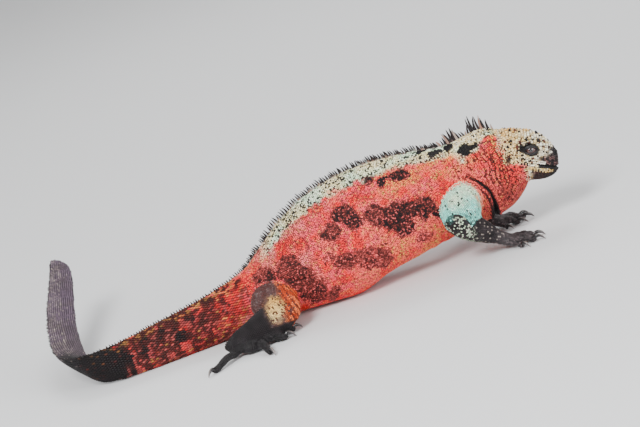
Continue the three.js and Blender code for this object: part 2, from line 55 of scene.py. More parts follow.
SKIN_LOWEST, SCALES_LOWEST = 0.35, 0.05  # heights above the floor, in millimetres
SKIN_SHADE = 0.42  # how bright the bare skin between scales is beside them: it is painted darker, as shade in the gaps
# Widths of the scales, and the length of a claw, in millimetres
FLANK_SCALE, LIMB_SCALE, TAIL_SCALE, TAIL_END_SCALE = 2.15, 2.2, 3.1, 2.7
CROWN_SCALE, FACE_SCALE, LIP_SCALE = 4.1, 2.05, 2.3
CLAW_LENGTH = 12.5
Array = np.ndarray


# Sections of the body: x, y, z, height above and below, half width, squareness above and below,
# lean about the length in degrees. All lengths are in millimetres.
TRUNK = np.array([
    [252, 0, 96, 22, 28, 20, 2, 2, 2],
    [238, 0, 93, 35, 41, 27, 2, 2, 4],
    [221, 0, 89, 46.5, 50, 31, 1.9, 2, 4],
    [203, 0, 85, 49, 54, 33, 1.8, 2, 3],
    [182, 0, 81, 50.5, 53, 40, 1.8, 2, 2],
    [158, 0, 78, 54.5, 52, 48, 1.8, 2.1, 1],
    [128, 0, 76, 63, 52.5, 55, 1.8, 2.2, 0],
    [92, 0, 73, 70, 55, 60, 1.8, 2.2, 0],
    [52, 0, 70, 72.5, 59, 63, 1.8, 2.2, 0],
    [12, 0, 65, 70.5, 65.4, 61, 1.8, 2.3, 0],
    [-26, 0, 58, 60.5, 58.6, 54, 1.8, 2.3, 0],
    [-58, 0, 49, 48.5, 49.5, 44, 1.8, 2.2, 0],
    [-88, -1, 40, 38.5, 40.4, 34, 1.9, 2.2, 0],
    [-120, -3, 34, 32.5, 34.4, 25, 2, 2.2, 0],
    [-160, -6, 30, 28, 30.4, 19, 2, 2.2, 0],
    [-205, -10, 27, 25, 27.3, 15.5, 1.9, 2.1, 0],
    [-248, -15, 25, 22.5, 25, 12.5, 1.9, 2, -2],
    [-286, -18, 24.5, 21, 23.6, 10.5, 1.8, 2, -8],
    [-315, -6, 24, 20.5, 22.5, 9, 1.8, 2, -24],
    [-333, 26, 27, 20, 21, 8, 1.8, 1.9, -48],
    [-343, 70, 34, 19.5, 19.5, 7.2, 1.8, 1.9, -68],
    [-347, 125, 46.5, 18.5, 19, 6.4, 1.8, 1.9, -80],
    [-346, 180, 60, 18.5, 19, 5.6, 1.8, 1.9, -85],
    [-342, 238, 74, 17, 18, 4.8, 1.8, 1.9, -88],
    [-340, 278, 84.5, 14.5, 16, 3.9, 1.8, 1.9, -89],
    [-343, 302, 91, 9.5, 12, 3, 1.8, 1.9, -89],
    [-347, 316, 95, 4.5, 4, 1.8, 1.8, 1.9, -89],
], float)

# Sections of the head in its own frame: x, top, bottom, half width, squareness above and below.
HEAD = np.array([
    [-17, 27, -16, 19, 2, 2],
    [-8, 29.2, -23, 25, 2.1, 2],
    [2, 29.6, -27.5, 28, 2.2, 2.1],
    [13, 29, -30, 28.5, 2.4, 2.1],
    [23, 28, -31, 27, 2.6, 2.1],
    [32, 26, -31, 24.5, 2.7, 2.1],
    [40, 22.6, -30, 22, 2.5, 2.2],
    [47, 18, -28.6, 19.6, 2.4, 2.3],
    [53, 12.5, -26.4, 17, 2.3, 2.4],
    [57.5, 7, -23.6, 14, 2.3, 2.4],
    [60.4, 2, -20.6, 10, 2.2, 2.3],
    [61.2, -4, -17.6, 5.6, 2.1, 2.2],
], float)
HEAD_LENGTH = 61.5
HEAD_AT = np.array([236.5, 0.0, 96.0])
HEAD_PITCH, HEAD_ROLL = 20.0, 6.0
EYE_RADIUS = 8.2
EYE_X, EYE_Z = 25.5, 6.5
NOSTRIL_X, NOSTRIL_Z = 56.0, 2.5
# The pale edge of the lower lip and the lines about the eye, as x and z in the head's frame
LOWER_LIP = [(20, -16), (27, -15), (38, -17.2), (45, -18.6), (53, -17.4)]
BROW = [(10, 13), (18, 18), (28, 19), (38, 15), (44, 9)]
EYE_BAG = [(15, -1), (24, -4), (35, -3)]
# The deep fold in front of the shoulder, as x and height seen from the side
SHOULDER_FOLD = [(181, 83), (191.6, 71.6), (197, 64), (201, 56.5), (202.5, 44), (200, 28)]
VIEW_TILT = 15.0  # degrees above the floor at which heights on the flank were measured
LEFT_SHIFT = -13.0  # how far the left side's pattern stands off the right side's
# Stations along the trunk at which one region gives way to the next
NECK_END, TORSO_END, RED_TAIL_END, TAIL_TIP = 4.35, 12.6, 18.2, 25.9


class Region(Enum):
    """The parts of the body that are scaled and coloured differently."""

    HEAD = 0
    NECK = 1
    TORSO = 2
    TAIL = 3
    TAIL_END = 4
    UPPER_ARM = 5
    FOREARM = 6
    HAND = 7
    FINGER = 8
    THIGH = 9
    SHANK = 10
    FOOT = 11
    TOE = 12


LIMB_JOINTS: dict[str, dict[str, tuple[float, ...]]] = {
    "right": {
        "shoulder": (172, -26, 72), "elbow": (151, -75, 57), "wrist": (186, -56, 22),
        "palm": (204, -55, 9), "hip": (-92, -18, 36), "knee": (-72, -78, 27),
        "ankle": (-146, -92, 14), "sole": (-120, -98, 7),
    },
    "left": {
        "shoulder": (176, 26, 74), "elbow": (150, 75, 57), "wrist": (188, 50, 22),
        "palm": (206, 46, 9), "hip": (-90, 14, 40), "knee": (-70, 76, 30),
        "ankle": (-146, 88, 14), "sole": (-121, 95, 7),
    },
}
# Root from the sole, claw tip on the floor, height of the knuckle, girth.
FINGERS = [
    ((-4, 8), (11, 26), 10, 0.82), ((2, 6), (31, 19), 12, 0.92), ((5, 1), (41, 3), 13, 1.0),
    ((3, -4), (38, -15), 12, 0.98), ((-1, -8), (17, -27), 10, 0.88),
]
HIND_TOES = [
    ((4, 12), (33, 44), 10, 0.85), ((8, 7), (59, 27), 12, 0.98), ((9, 1), (49, 0), 13, 1.08),
    ((4, -6), (20, -50), 13, 1.1), ((-24, -6), (-62, -42), 10, 0.98),
]


# Arithmetic on many points at once


def smoothstep(low: float, high: float, value: Array) -> Array:
    """Rises softly from 0 at low to 1 at high."""
    x = np.clip((value - low) / (high - low), 0, 1)
    return x * x * (3 - 2 * x)


def fade(low: float, high: float, value: Array) -> Array:
    """Falls softly from 1 at low to 0 at high."""
    return 1 - smoothstep(low, high, value)


def bell(value: Array, width: float) -> Array:
    """Rises softly to 1 where a value is nought."""
    return np.exp(-((value / width) ** 2))


def hash_noise(cells: Array, seed: int) -> Array:
    """A random number from 0 to 1 for each row of whole numbers."""
    n = cells[:, 0] * 374761393 + cells[:, 1] * 668265263 + cells[:, 2] * 2147483647 + seed * 974711
    n = (n ^ (n >> 13)) * 1274126177
    return ((n ^ (n >> 16)) & 0xFFFFFF) / float(0xFFFFFF)


def noise(points: Array, scale: float, seed: int) -> Array:
    """Smooth noise from 0 to 1 in space.

    Args:
        points: Places, one row each, in millimetres.
        scale: The size of its lumps in millimetres.
        seed: Which noise it is.

    Returns:
        One value for each place.
    """
    p = points / scale + 1000.0
    cell = np.floor(p).astype(np.int64)
    f = p - cell
    f = f * f * (3 - 2 * f)
    total = np.zeros(len(points))
    for corner in range(8):
        step = np.array([corner & 1, corner >> 1 & 1, corner >> 2 & 1])
        weight = np.prod(np.where(step, f, 1 - f), axis=1)
        total += weight * hash_noise(cell + step, seed)
    return total


def layered(points: Array, scale: float, seed: int) -> Array:
    """Noise of three sizes, from 0 to 1, centred on one half."""
    parts = [noise(points, scale / k, seed + k) / k for k in (1, 2, 4)]
    return np.clip((sum(parts) / 1.75 - 0.5) * 1.5 + 0.5, 0, 1)


def unit(vectors: Array) -> Array:
    """The rows, each made of length one."""
    return vectors / np.maximum(np.linalg.norm(vectors, axis=-1, keepdims=True), 1e-9)


def power(value: Array, n: Array) -> Array:
    """A signed power that squares an ellipse's section."""
    return np.sign(value) * np.abs(value) ** (2 / n)


def smooth_rows(table: Array, t: Array) -> Array:
    """Rows between a table's own, on a smooth curve through them."""
    t = np.clip(np.asarray(t, float), 0, len(table) - 1)
    i = np.minimum(np.floor(t).astype(int), len(table) - 2)
    f = (t - i)[:, None]
    a, b = table[np.maximum(i - 1, 0)], table[i]
    c, d = table[i + 1], table[np.minimum(i + 2, len(table) - 1)]
    return b + 0.5 * f * (c - a + f * (2 * a - 5 * b + 4 * c - d + f * (3 * (b - c) + d - a)))


def head_matrix() -> Array:
    """From the head's own frame, with the ear at its origin, to the body's."""
    roll, pitch = math.radians(-HEAD_ROLL), math.radians(HEAD_PITCH)
    rx = np.array(Matrix.Rotation(roll, 3, "X"))
    ry = np.array(Matrix.Rotation(pitch, 3, "Y"))
    return rx @ ry


HEAD_TURN = head_matrix()


def from_head(points: Array) -> Array:
    """Places in the head's frame, in the body's."""
    return points @ HEAD_TURN.T + HEAD_AT


def to_head(points: Array) -> Array:
    """Places in the body's frame, in the head's."""
    return (points - HEAD_AT) @ HEAD_TURN


def side_height(points: Array) -> Array:
    """Height of a place as it shows from its own side, a little above the floor's level."""
    tilt = math.radians(VIEW_TILT)
    return points[:, 2] * math.cos(tilt) - np.abs(points[:, 1]) * math.sin(tilt)


@dataclass
class Sites:
    """Places on the body, with where each lies along and round its part."""

    at: Array
    region: Array
    along: Array  # millimetres from the part's start
    round: Array  # from -1 to 1, nought on top
    tube: Array
    size: Array

    def pick(self, keep: Array) -> "Sites":
        """Only the places that keep names."""
        return Sites(*(getattr(self, n)[keep] for n in self.__dataclass_fields__))

    def within(self, *regions: Region) -> Array:
        """Whether each place lies in one of some regions."""
        return np.isin(self.region, [r.value for r in regions])

    @staticmethod
    def row(at: Array, region: Region, along: float | Array, around: float | Array, tube: int, size: float) -> "Sites":
        """Places that share their region, part and size.

        Args:
            at: The places.
            region: Their region.
            along: How far along their part they lie.
            around: How far round it.
            tube: The number of their part.
            size: The width of a scale there.

        Returns:
            The places with all that is known of them.
        """
        one = np.ones(len(at))
        return Sites(at, np.full(len(at), region.value), along * one, around * one, np.full(len(at), tube), size * one)


def join_sites(parts: list[Sites]) -> Sites:
    """Several sets of places as one."""
    return Sites(*(np.concatenate([getattr(p, n) for p in parts]) for n in Sites.__dataclass_fields__))


@dataclass
class Tube:
    """A closed length of the body, drawn through its sections."""

    rows: Array
    region: Region
    sides: int
    step: float  # between rings, in millimetres

    def __post_init__(self) -> None:
        """Measures the length at a fine step."""
        self.fine = np.arange(0, len(self.rows) - 1 + 1e-6, 0.02)
        centres = smooth_rows(self.rows, self.fine)[:, :3]
        gaps = np.linalg.norm(np.diff(centres, axis=0), axis=1)
        self.lengths = np.concatenate([[0], np.cumsum(gaps)])

    def station(self, length: Array) -> Array:
        """The station at a length in millimetres from the start."""
        return np.interp(length, self.lengths, self.fine)

    def length_at(self, station: float) -> float:
        """The length in millimetres from the start to a station."""
        return float(np.interp(station, self.fine, self.lengths))

    def frames(self, t: Array) -> tuple[Array, Array, Array, Array]:
        """Section rows, with the directions along, up and to the side, at stations."""
        t = np.asarray(t, float)
        last = len(self.rows) - 1
        rows = smooth_rows(self.rows, t)
        ahead = smooth_rows(self.rows, np.minimum(t + 0.02, last))[:, :3]
        behind = smooth_rows(self.rows, np.maximum(t - 0.02, 0))[:, :3]
        along = unit(ahead - behind)
        up = unit(np.array([0, 0, 1.0]) - along * along[:, 2:3])
        lean = np.radians(rows[:, 8])[:, None]
        up = up * np.cos(lean) + np.cross(along, up) * np.sin(lean)
        return rows, along, up, np.cross(up, along)

    def points(self, t: Array, angle: Array, grow: float = 0.0) -> Array:
        """Places on the surface.

        Args:
            t: Stations.
            angle: How far round each lies, in radians from the top.
            grow: Millimetres further out than the section.

        Returns:
            One row for each place.
        """
        rows, _, up, side = self.frames(t)
        c, s = np.cos(angle), np.sin(angle)
        n = np.where(c >= 0, rows[:, 6], rows[:, 7])
        high = np.where(c >= 0, rows[:, 3], rows[:, 4]) + grow
        out = rows[:, :3] + up * (power(c, n) * high)[:, None]
        return out + side * (power(s, n) * (rows[:, 5] + grow))[:, None]

    def shell(self, grow: float) -> tuple[Array, list[tuple[int, ...]]]:
        """Corners and faces of the closed length."""
        count = max(4, int(self.lengths[-1] / self.step))
        t = self.station(np.linspace(0, self.lengths[-1], count))
        angle = np.arange(self.sides) / self.sides * 2 * math.pi
        corners = self.points(np.repeat(t, self.sides), np.tile(angle, count), grow)
        return corners, wrap_rings(count, self.sides)

    def lattice(self, start: float, end: float, spacing: float, staggered: bool, pull: float = 0.87) -> Sites:
        """Places in even rows round the length, as its scales lie.

        Args:
            start: Where the rows begin, in millimetres along.
            end: Where they end.
            spacing: The distance between scales in a row.
            staggered: Whether every other row is shifted by half a scale.
            pull: The distance between rows as a share of spacing.

        Returns:
            The places.
        """
        found: list[Sites] = []
        rows = np.arange(start, end, spacing * pull)
        angle = np.linspace(0, 2 * math.pi, 145)
        for k, length in enumerate(rows):
            t = np.full(len(angle), self.station(length))
            ring = self.points(t, angle)
            turn, around = spaced_round(ring, angle, spacing, 0.5 * (k % 2) * staggered, 5)
            at = self.points(t[:1].repeat(len(turn)), turn)
            found.append(Sites.row(at, self.region, length, around, 0, spacing))
        return join_sites(found)


def spaced_round(ring: Array, angle: Array, spacing: float, shift: float, fewest: int) -> tuple[Array, Array]:
    """Even places round a section.

    Args:
        ring: Points round the section.
        angle: The angle of each.
        spacing: The distance that is wanted between places.
        shift: How far the first is shifted, as a share of spacing.
        fewest: The least number of places.

    Returns:
        The angle of each place, and how far round it lies, from -1 to 1 with nought on top.
    """
    run = np.concatenate([[0], np.cumsum(np.linalg.norm(np.diff(ring, axis=0), axis=1))])
    count = max(fewest, round(run[-1] / spacing))
    wanted = (np.arange(count) + shift) / count * run[-1]
    around = wanted / run[-1]
    return np.interp(wanted, run, angle), np.where(around > 0.5, around - 1, around) * 2


def wrap_rings(count: int, sides: int) -> list[tuple[int, ...]]:
    """Faces over rings of corners, closed at both ends."""
    faces = [
        (r * sides + k, r * sides + (k + 1) % sides, (r + 1) * sides + (k + 1) % sides, (r + 1) * sides + k)
        for r in range(count - 1) for k in range(sides)
    ]
    faces.append(tuple(range(sides - 1, -1, -1)))
    faces.append(tuple(range((count - 1) * sides, count * sides)))
    return faces


def pointed_rings(count: int, sides: int) -> list[tuple[int, ...]]:
    """Faces over rings of corners that end in one point, the last corner."""
    top = (count - 1) * sides
    return wrap_rings(count, sides)[:-1] + [(top + k, top + (k + 1) % sides, top + sides) for k in range(sides)]


def limb_row(at: Array, high: float, wide: float, square: float = 2.0) -> list[float]:
    """A section of a limb."""
    return [*at, high, high, wide, square, square, 0]


def along_line(a: Array, b: Array, share: float) -> Array:
    """A place on the line through two others."""
    return np.asarray(a, float) + (np.asarray(b, float) - np.asarray(a, float)) * share


@dataclass
class Limb:
    """One arm or leg, from its joints."""

    side: str
    joints: dict[str, tuple[float, ...]]
    sign: int = field(init=False)

    def __post_init__(self) -> None:
        """Sets which way is outwards."""
        self.sign = -1 if self.side == "right" else 1

    def tube(self, region: Region, a: str, b: str, spec: list[tuple[float, ...]]) -> Tube:
        """A length between two joints, with the height, width and squareness of sections at shares of it."""
        rows = [limb_row(along_line(self.joints[a], self.joints[b], s[0]), *s[1:]) for s in spec]
        return Tube(np.array(rows, float), region, 36, 2.5)

    def arm(self) -> list[Tube]:
        """Upper arm, forearm and palm."""
        return [
            self.tube(Region.UPPER_ARM, "shoulder", "elbow", [
                (-0.1, 10, 10), (0.1, 21, 20), (0.4, 25, 22), (0.72, 24.5, 22), (1.0, 19, 18),
                (1.15, 13, 13), (1.26, 2.5, 2.5)]),
            self.tube(Region.FOREARM, "elbow", "wrist", [
                (-0.22, 9, 9), (0.05, 17, 17), (0.42, 16.5, 16), (0.78, 12.5, 12.5),
                (1.06, 9.5, 11.5), (1.24, 4, 6)]),
            self.palm(Region.HAND, "wrist", "palm", 14),
        ]

    def leg(self) -> list[Tube]:
        """Thigh, shank and sole."""
        return [
            self.tube(Region.THIGH, "hip", "knee", [
                (0, 15, 17), (0.25, 23, 26), (0.6, 21, 25.5), (0.9, 17.5, 19.5), (1.12, 13, 14),
                (1.26, 3, 3)]),
            self.tube(Region.SHANK, "knee", "ankle", [
                (-0.16, 8, 8), (0.06, 18.5, 18), (0.34, 19, 19), (0.66, 14.5, 14.5),
                (0.92, 11.5, 10.5), (1.1, 7, 7)]),
            self.palm(Region.FOOT, "ankle", "sole", 15),
        ]

    def palm(self, region: Region, a: str, b: str, width: float) -> Tube:
        """The flat of a hand or foot."""
        return self.tube(region, a, b, [
            (-0.35, 4, 5), (0, 8.5, width * 0.72), (0.55, 8, width * 0.95, 2.3),
            (1, 7, width, 2.4), (1.5, 3.5, width * 0.6, 2.4)])

    def digits(self, sole: str, specs: list, region: Region) -> tuple[list[Tube], list[Array]]:
        """Toes as lengths of flesh, and the sections of the claw at the end of each."""
        at = self.joints[sole]
        tubes, claws = [], []
        for root, tip, knuckle, girth in specs:
            a = np.array([at[0] + root[0], at[1] - self.sign * root[1], at[2]])
            b = np.array([at[0] + tip[0], at[1] - self.sign * tip[1], 0.0])
            reach = math.hypot(b[0] - a[0], b[1] - a[1])
            pad = 1 - CLAW_LENGTH * min(1, reach / 30) / reach  # share of the toe that is flesh
            r, c = 4.7 * girth, 2.3 * girth  # how thick flesh and claw are

            def spot(share: float, z: float) -> Array:
                """A place over the toe's line on the floor."""
                return np.array([*(a[:2] + (b[:2] - a[:2]) * share), z])

            rows = [
                limb_row(spot(-0.06, a[2] - 1), r * 1.05, r * 1.1),
                limb_row(spot(pad * 0.3, (a[2] + knuckle) / 2), r * 1.05, r * 1.08),
                limb_row(spot(pad * 0.55, knuckle - r * 0.55), r * 1.02, r * 1.1),
                limb_row(spot(pad * 0.8, r * 1.05), r * 0.92, r * 0.95),
                limb_row(spot(pad * 0.97, r * 0.92), r * 0.98, r * 0.95),
                limb_row(spot(pad + 0.07, r * 0.95), r * 0.4, r * 0.4),
            ]
            tubes.append(Tube(np.array(rows, float), region, 20, 1.6))
            ahead = pad + (1 - pad) * np.array([-0.12, 0.1, 0.35, 0.72])
            claws.append(np.array([
                limb_row(spot(ahead[0], r * 1.1), c * 0.9, c * 0.8),
                limb_row(spot(ahead[1], r * 1.42), c * 1.0, c * 0.8),
                limb_row(spot(ahead[2], r * 1.55), c * 0.95, c * 0.72),
                limb_row(spot(ahead[3], r * 1.08), c * 0.66, c * 0.5),
                limb_row(spot(0.99, 0.75), 0.3, 0.26),
            ], float))
        return tubes, claws


@dataclass(frozen=True)
class Palette:
    """The animal's colours, as red, green and blue from 0 to 1 on a screen."""

    red: tuple = (0.80, 0.25, 0.25)
    deep_red: tuple = (0.66, 0.19, 0.19)
    salmon: tuple = (0.85, 0.41, 0.39)
    orange: tuple = (0.86, 0.50, 0.34)
    pink: tuple = (0.80, 0.44, 0.44)
    umber: tuple = (0.25, 0.125, 0.115)
    black: tuple = (0.085, 0.075, 0.085)
    sea: tuple = (0.56, 0.80, 0.76)
    mint: tuple = (0.80, 0.87, 0.77)
    cream: tuple = (0.84, 0.77, 0.62)
    ochre: tuple = (0.78, 0.62, 0.38)
    rust: tuple = (0.66, 0.30, 0.17)
    charcoal: tuple = (0.33, 0.30, 0.305)
    rose: tuple = (0.82, 0.38, 0.43)
    white: tuple = (0.93, 0.91, 0.86)
    plum: tuple = (0.50, 0.27, 0.26)
    grey: tuple = (0.45, 0.42, 0.42)
    lilac: tuple = (0.42, 0.37, 0.42)
    bone: tuple = (0.78, 0.74, 0.70)


HUES = Palette()


def tint(name: str, count: int) -> Array:
    """One of the animal's colours, once for each place."""
    return np.tile(np.array(getattr(HUES, name), float), (count, 1))


def blend(under: Array | str, over: Array | str, share: Array) -> Array:
    """Colours part of the way to others, each given by name or once for each place."""
    first, other = (tint(hue, len(share)) if isinstance(hue, str) else hue for hue in (under, over))
    return first + (other - first) * np.clip(share, 0, 1)[:, None]


def to_linear(colour: Array) -> Array:
    """Screen colours as light."""
    colour = np.clip(colour, 0, 1)
    return np.where(colour <= 0.04045, colour / 12.92, ((colour + 0.055) / 1.055) ** 2.4)


# Dark patches on the right flank: x, height as seen from the side, half length, half height, strength.
BLOTCHES = [
    (69, 121, 8, 7, 1.0), (85, 111, 9, 6, 1.1), (96, 112, 8, 5, 1.0), (108, 110, 9, 7, 1.0),
    (27, 90, 14, 12, 0.9), (38, 79, 12, 11, 0.95), (5, 75, 13, 11, 0.8), (64, 76, 15, 14, 0.85),
    (81, 68, 16, 17, 1.0), (101, 69, 17, 15, 0.95), (121, 64, 15, 13, 1.0), (137, 50, 10, 9, 1.2),
    (92, 50, 14, 10, 1.0), (12, 38, 14, 11, 0.7), (35, 34, 16, 15, 0.6), (54, 26, 14, 11, 0.65),
    (-7, 46, 8, 8, 0.5), (64, 40, 4, 3, 0.7), (58, 48, 3, 3, 0.8), (112, 32, 12, 5, 0.5),
]
# The same for the patches beside the crest and round the hip, which also darken the pale strip.
CREST_AND_HIP = [
    (140, 128, 8, 4, 0.9), (156, 122, 7, 4, 0.85), (193, 114, 13, 6, 1.15), (126, 134, 6, 3, 0.8),
    (172, 124, 6, 5, 0.8), (-85, 53, 13, 14, 0.85), (-55, 53, 20, 16, 0.75), (-45, 37, 21, 18, 0.8),
    (-34, 17, 19, 14, 0.85), (-14, 6, 11, 7, 0.75), (-112, 44, 8, 9, 0.45), (-135, 30, 9, 8, 0.35),
]
TAIL_BARS = [
    (-140, 40, 5, 16, 0.45), (-160, 45, 5, 10, 0.6), (-172, 30, 6, 8, 0.5), (-183, 42, 6, 9, 0.75),
    (-202, 22, 8, 9, 0.95), (-205, 40, 6, 10, 0.8), (-222, 35, 6, 12, 0.8), (-234, 30, 5, 10, 0.6),
    (-246, 25, 6, 16, 0.85), (-258, 22, 4, 16, 0.7), (-271, 18, 6, 24, 1.0), (-284, 16, 5, 26, 1.1),
]


@dataclass
class Markings:
    """The animal's pattern, with some painted shade and highlights, worked out anywhere on its body."""

    seed: int = 7
    saturation: float = 1.28
    contrast: float = 1.17
    unevenness: float = 0.3  # of brightness, from one scale to the next

    def patches(self, at: Array, spots: list[tuple[float, ...]], shift: Array) -> Array:
        """How far each place lies inside a list of ragged patches."""
        x = at[:, 0] + shift + (noise(at, 9, 61) - 0.5) * 9
        v = side_height(at) - shift * 0.5 + (noise(at, 9, 62) - 0.5) * 9
        best = np.zeros(len(at))
        for cx, cv, half_long, half_high, strength in spots:
            d = np.hypot((x - cx) / half_long, (v - cv) / half_high)
            best = np.maximum(best, strength * fade(0.72, 1.18, d))
        return best

    def colour(self, where: Sites) -> Array:
        """Colours at places.

        Args:
            where: The places.

        Returns:
            A screen colour for each.
        """
        at, count = where.at, len(where.at)
        rng = np.random.default_rng(self.seed)
        fleck = rng.random(count)
        broad, fine = layered(at, 26, 3), layered(at, 7, 5)
        out = self.flank(where, fleck, broad, fine)
        painters = {
            Region.HEAD: self.head, Region.NECK: self.neck, Region.TAIL: self.tail,
            Region.TAIL_END: self.tail_end, Region.UPPER_ARM: self.upper_arm,
            Region.FOREARM: self.forearm, Region.THIGH: self.thigh, Region.SHANK: self.shank,
        }
        for part, painter in painters.items():
            mask = where.within(part)
            if mask.any():
                out[mask] = painter(where.pick(mask), fleck[mask], broad[mask], fine[mask])
        feet = where.within(Region.HAND, Region.FINGER, Region.FOOT, Region.TOE)
        hind = where.within(Region.FOOT, Region.TOE)
        skin = blend("black", "charcoal", np.where(hind, 0.0, 0.3) + fine * np.where(hind, 0.2, 0.5))
        skin = blend(skin, "grey", (fleck > 0.85) * np.where(hind, 0.1, 0.6))
        out[feet] = skin[feet]
        grey = out.mean(1, keepdims=True)
        out = grey + (out - grey) * self.saturation
        out = 0.5 + (out - 0.5) * self.contrast
        return out * (1 + self.unevenness * (rng.random(count) - 0.5))[:, None]

    def flank(self, where: Sites, fleck: Array, broad: Array, fine: Array) -> Array:
        """Red flank with dark patches, and the pale strip under the crest."""
        at, v = where.at, side_height(where.at)
        shift = np.where(at[:, 1] > 0, LEFT_SHIFT, 0.0)
        out = blend("red", "salmon", smoothstep(0.4, 0.6, broad))
        out = blend(out, "rose", smoothstep(0.5, 0.72, layered(at, 11, 27)) * 0.75)
        out = blend(out, "deep_red", smoothstep(0.52, 0.72, layered(at, 15, 23)) * 0.7)
        low_front = smoothstep(40, 100, at[:, 0]) * fade(40, 60, v)
        high_front = smoothstep(50, 110, at[:, 0]) * smoothstep(84, 104, v)
        warm = smoothstep(0.42, 0.68, layered(at, 12, 31)) * np.maximum(low_front, high_front)
        out = blend(out, "orange", warm * 0.85)
        hips = fade(-60, 10, at[:, 0]) * smoothstep(0.35, 0.7, layered(at, 22, 41))
        out = blend(out, "pink", hips * 0.85)
        out = blend(out, "bone", hips * 0.25)
        # the lower front flank is made paler salmon: partly its own colour, partly painted light against the shade low
        # on the flank
        out = blend(out, "salmon", low_front * 0.5)
        grainy = smoothstep(0.4, 0.62, layered(at, 8, 43))
        out = blend(out, "ochre", (fleck > 0.9 - 0.16 * grainy) * 0.5 + (warm > 0.35) * (fleck > 0.66) * 0.45)
        out = blend(out, "plum", (fleck < 0.06 + 0.14 * grainy) * 0.7)
        dark = self.patches(at, BLOTCHES + CREST_AND_HIP + TAIL_BARS, shift)
        ragged = dark + (fine - 0.5) * 0.4 + (fleck - 0.5) * 0.5
        inner = blend("plum", "umber", smoothstep(0.55, 1.1, ragged + (noise(at, 1.6, 9) - 0.5) * 0.9))
        out = blend(out, inner, smoothstep(0.38, 0.5, ragged) * 0.96)
        out = blend(out, "black", smoothstep(0.92, 1.2, ragged) * 0.9)
        out = blend(out, "pink", (dark > 0.35) * (fleck < 0.16) * 0.6)
        strip = fade(0.12, 0.18, np.abs(where.round) + (fine - 0.5) * 0.07)
        strip *= smoothstep(-100, -60, at[:, 0])
        pale = blend("mint", "cream", smoothstep(0.35, 0.65, broad) * 0.8)
        pale = blend(pale, "white", (fleck > 0.75) * 0.5)
        pale = blend(pale, "black", (fleck < 0.13 + 0.25 * (layered(at, 6, 77) > 0.55)) * 0.85)
        out = blend(out, pale, strip)
        black = self.patches(at, CREST_AND_HIP, shift * 0) + (fleck - 0.5) * 0.3
        return blend(out, "black", strip * smoothstep(0.4, 0.6, black) * 0.93)

    def neck(self, where: Sites, fleck: Array, broad: Array, fine: Array) -> Array:
        """Red neck, dusky with painted shade in its folds, cream and green on the nape."""
        out = self.flank(where, fleck, broad, fine)
        at, v = where.at, side_height(where.at)
        out = blend(out, "ochre", (fleck > 0.8) * 0.4)
        x = at[:, 0] + (noise(at, 12, 90) - 0.5) * 5
        crease = np.zeros(len(at))
        for path in neck_folds():
            crease = np.maximum(crease, fade(0.5, 2.0, line_distance(x, v, path)))
        lower = smoothstep(112, 98, v)
        out = blend(out, "salmon", (1 - crease) * lower * 0.35)
        # plum in the neck's creases is painted shade
        out = blend(out, "plum", crease * lower * (0.4 + 0.45 * (fleck > 0.4)) * smoothstep(0.2, 0.5, fine))
        out = blend(out, "umber", lower * (fleck < 0.05 + 0.2 * smoothstep(0.45, 0.6, layered(at, 6, 19))) * 0.75)
        nape = fade(0.16, 0.32, np.abs(where.round) + (fine - 0.5) * 0.16)
        pale = blend("cream", "mint", smoothstep(0.45, 0.65, broad) * 0.8)
        pale = blend(pale, "white", (fleck > 0.55) * 0.6)
        pale = blend(pale, "black", (fleck < 0.12) * 0.85)
        rear = smoothstep(-3, 3, at[:, 0] - 205 - (v - 110.5) * 1.05 + (fine - 0.5) * 8)
        climb = rear * fade(-2, 3, at[:, 0] - 230 - (v - 101.4) * 0.22 + (fine - 0.5) * 6)
        nape = nape * (1 - climb)
        out = blend(out, pale, nape * smoothstep(168, 184, at[:, 0]))
        lavender = fade(2, 5, np.abs(to_head(at)[:, 0] + 12))
        out = blend(out, "bone", lavender * smoothstep(92, 104, v) * (fleck > 0.45) * 0.7)
        black = self.patches(at, CREST_AND_HIP, np.zeros(len(at))) + (fleck - 0.5) * 0.3
        out = blend(out, "black", smoothstep(0.5, 0.7, black) * 0.93)
        local = to_head(at)
        face = smoothstep(-10, -6, local[:, 0] + (fine - 0.5) * 5)
        face *= smoothstep(-13, -8, local[:, 2] + (fine - 0.5) * 6)
        out = blend(out, self.head(where, fleck, broad, fine), face)
        throat = fade(40, 70, v - (at[:, 0] - 215) * 0.4)
        out = blend(out, "plum", throat * 0.5)
        # black along the fold before the shoulder and beside it is painted shade; salmon along its raised edge is a
        # painted highlight
        fold_shade = fade(1.3, 3.4, line_distance(at[:, 0], v, SHOULDER_FOLD) - smoothstep(50, 30, v) * 2.5)
        beside = fade(0.6, 1.9, line_distance(at[:, 0] + 5.5, v + 3.5, SHOULDER_FOLD))
        fold_edge_highlight = fade(2.0, 4.4, np.abs(line_distance(at[:, 0], v, SHOULDER_FOLD) - 4.5))
        out = blend(out, "salmon", fold_edge_highlight * 0.5)
        out = blend(out, "black", beside * smoothstep(184, 194, at[:, 0]) * 0.75)
        return blend(out, "black", fold_shade * (0.35 + 0.6 * smoothstep(183, 193, at[:, 0])))

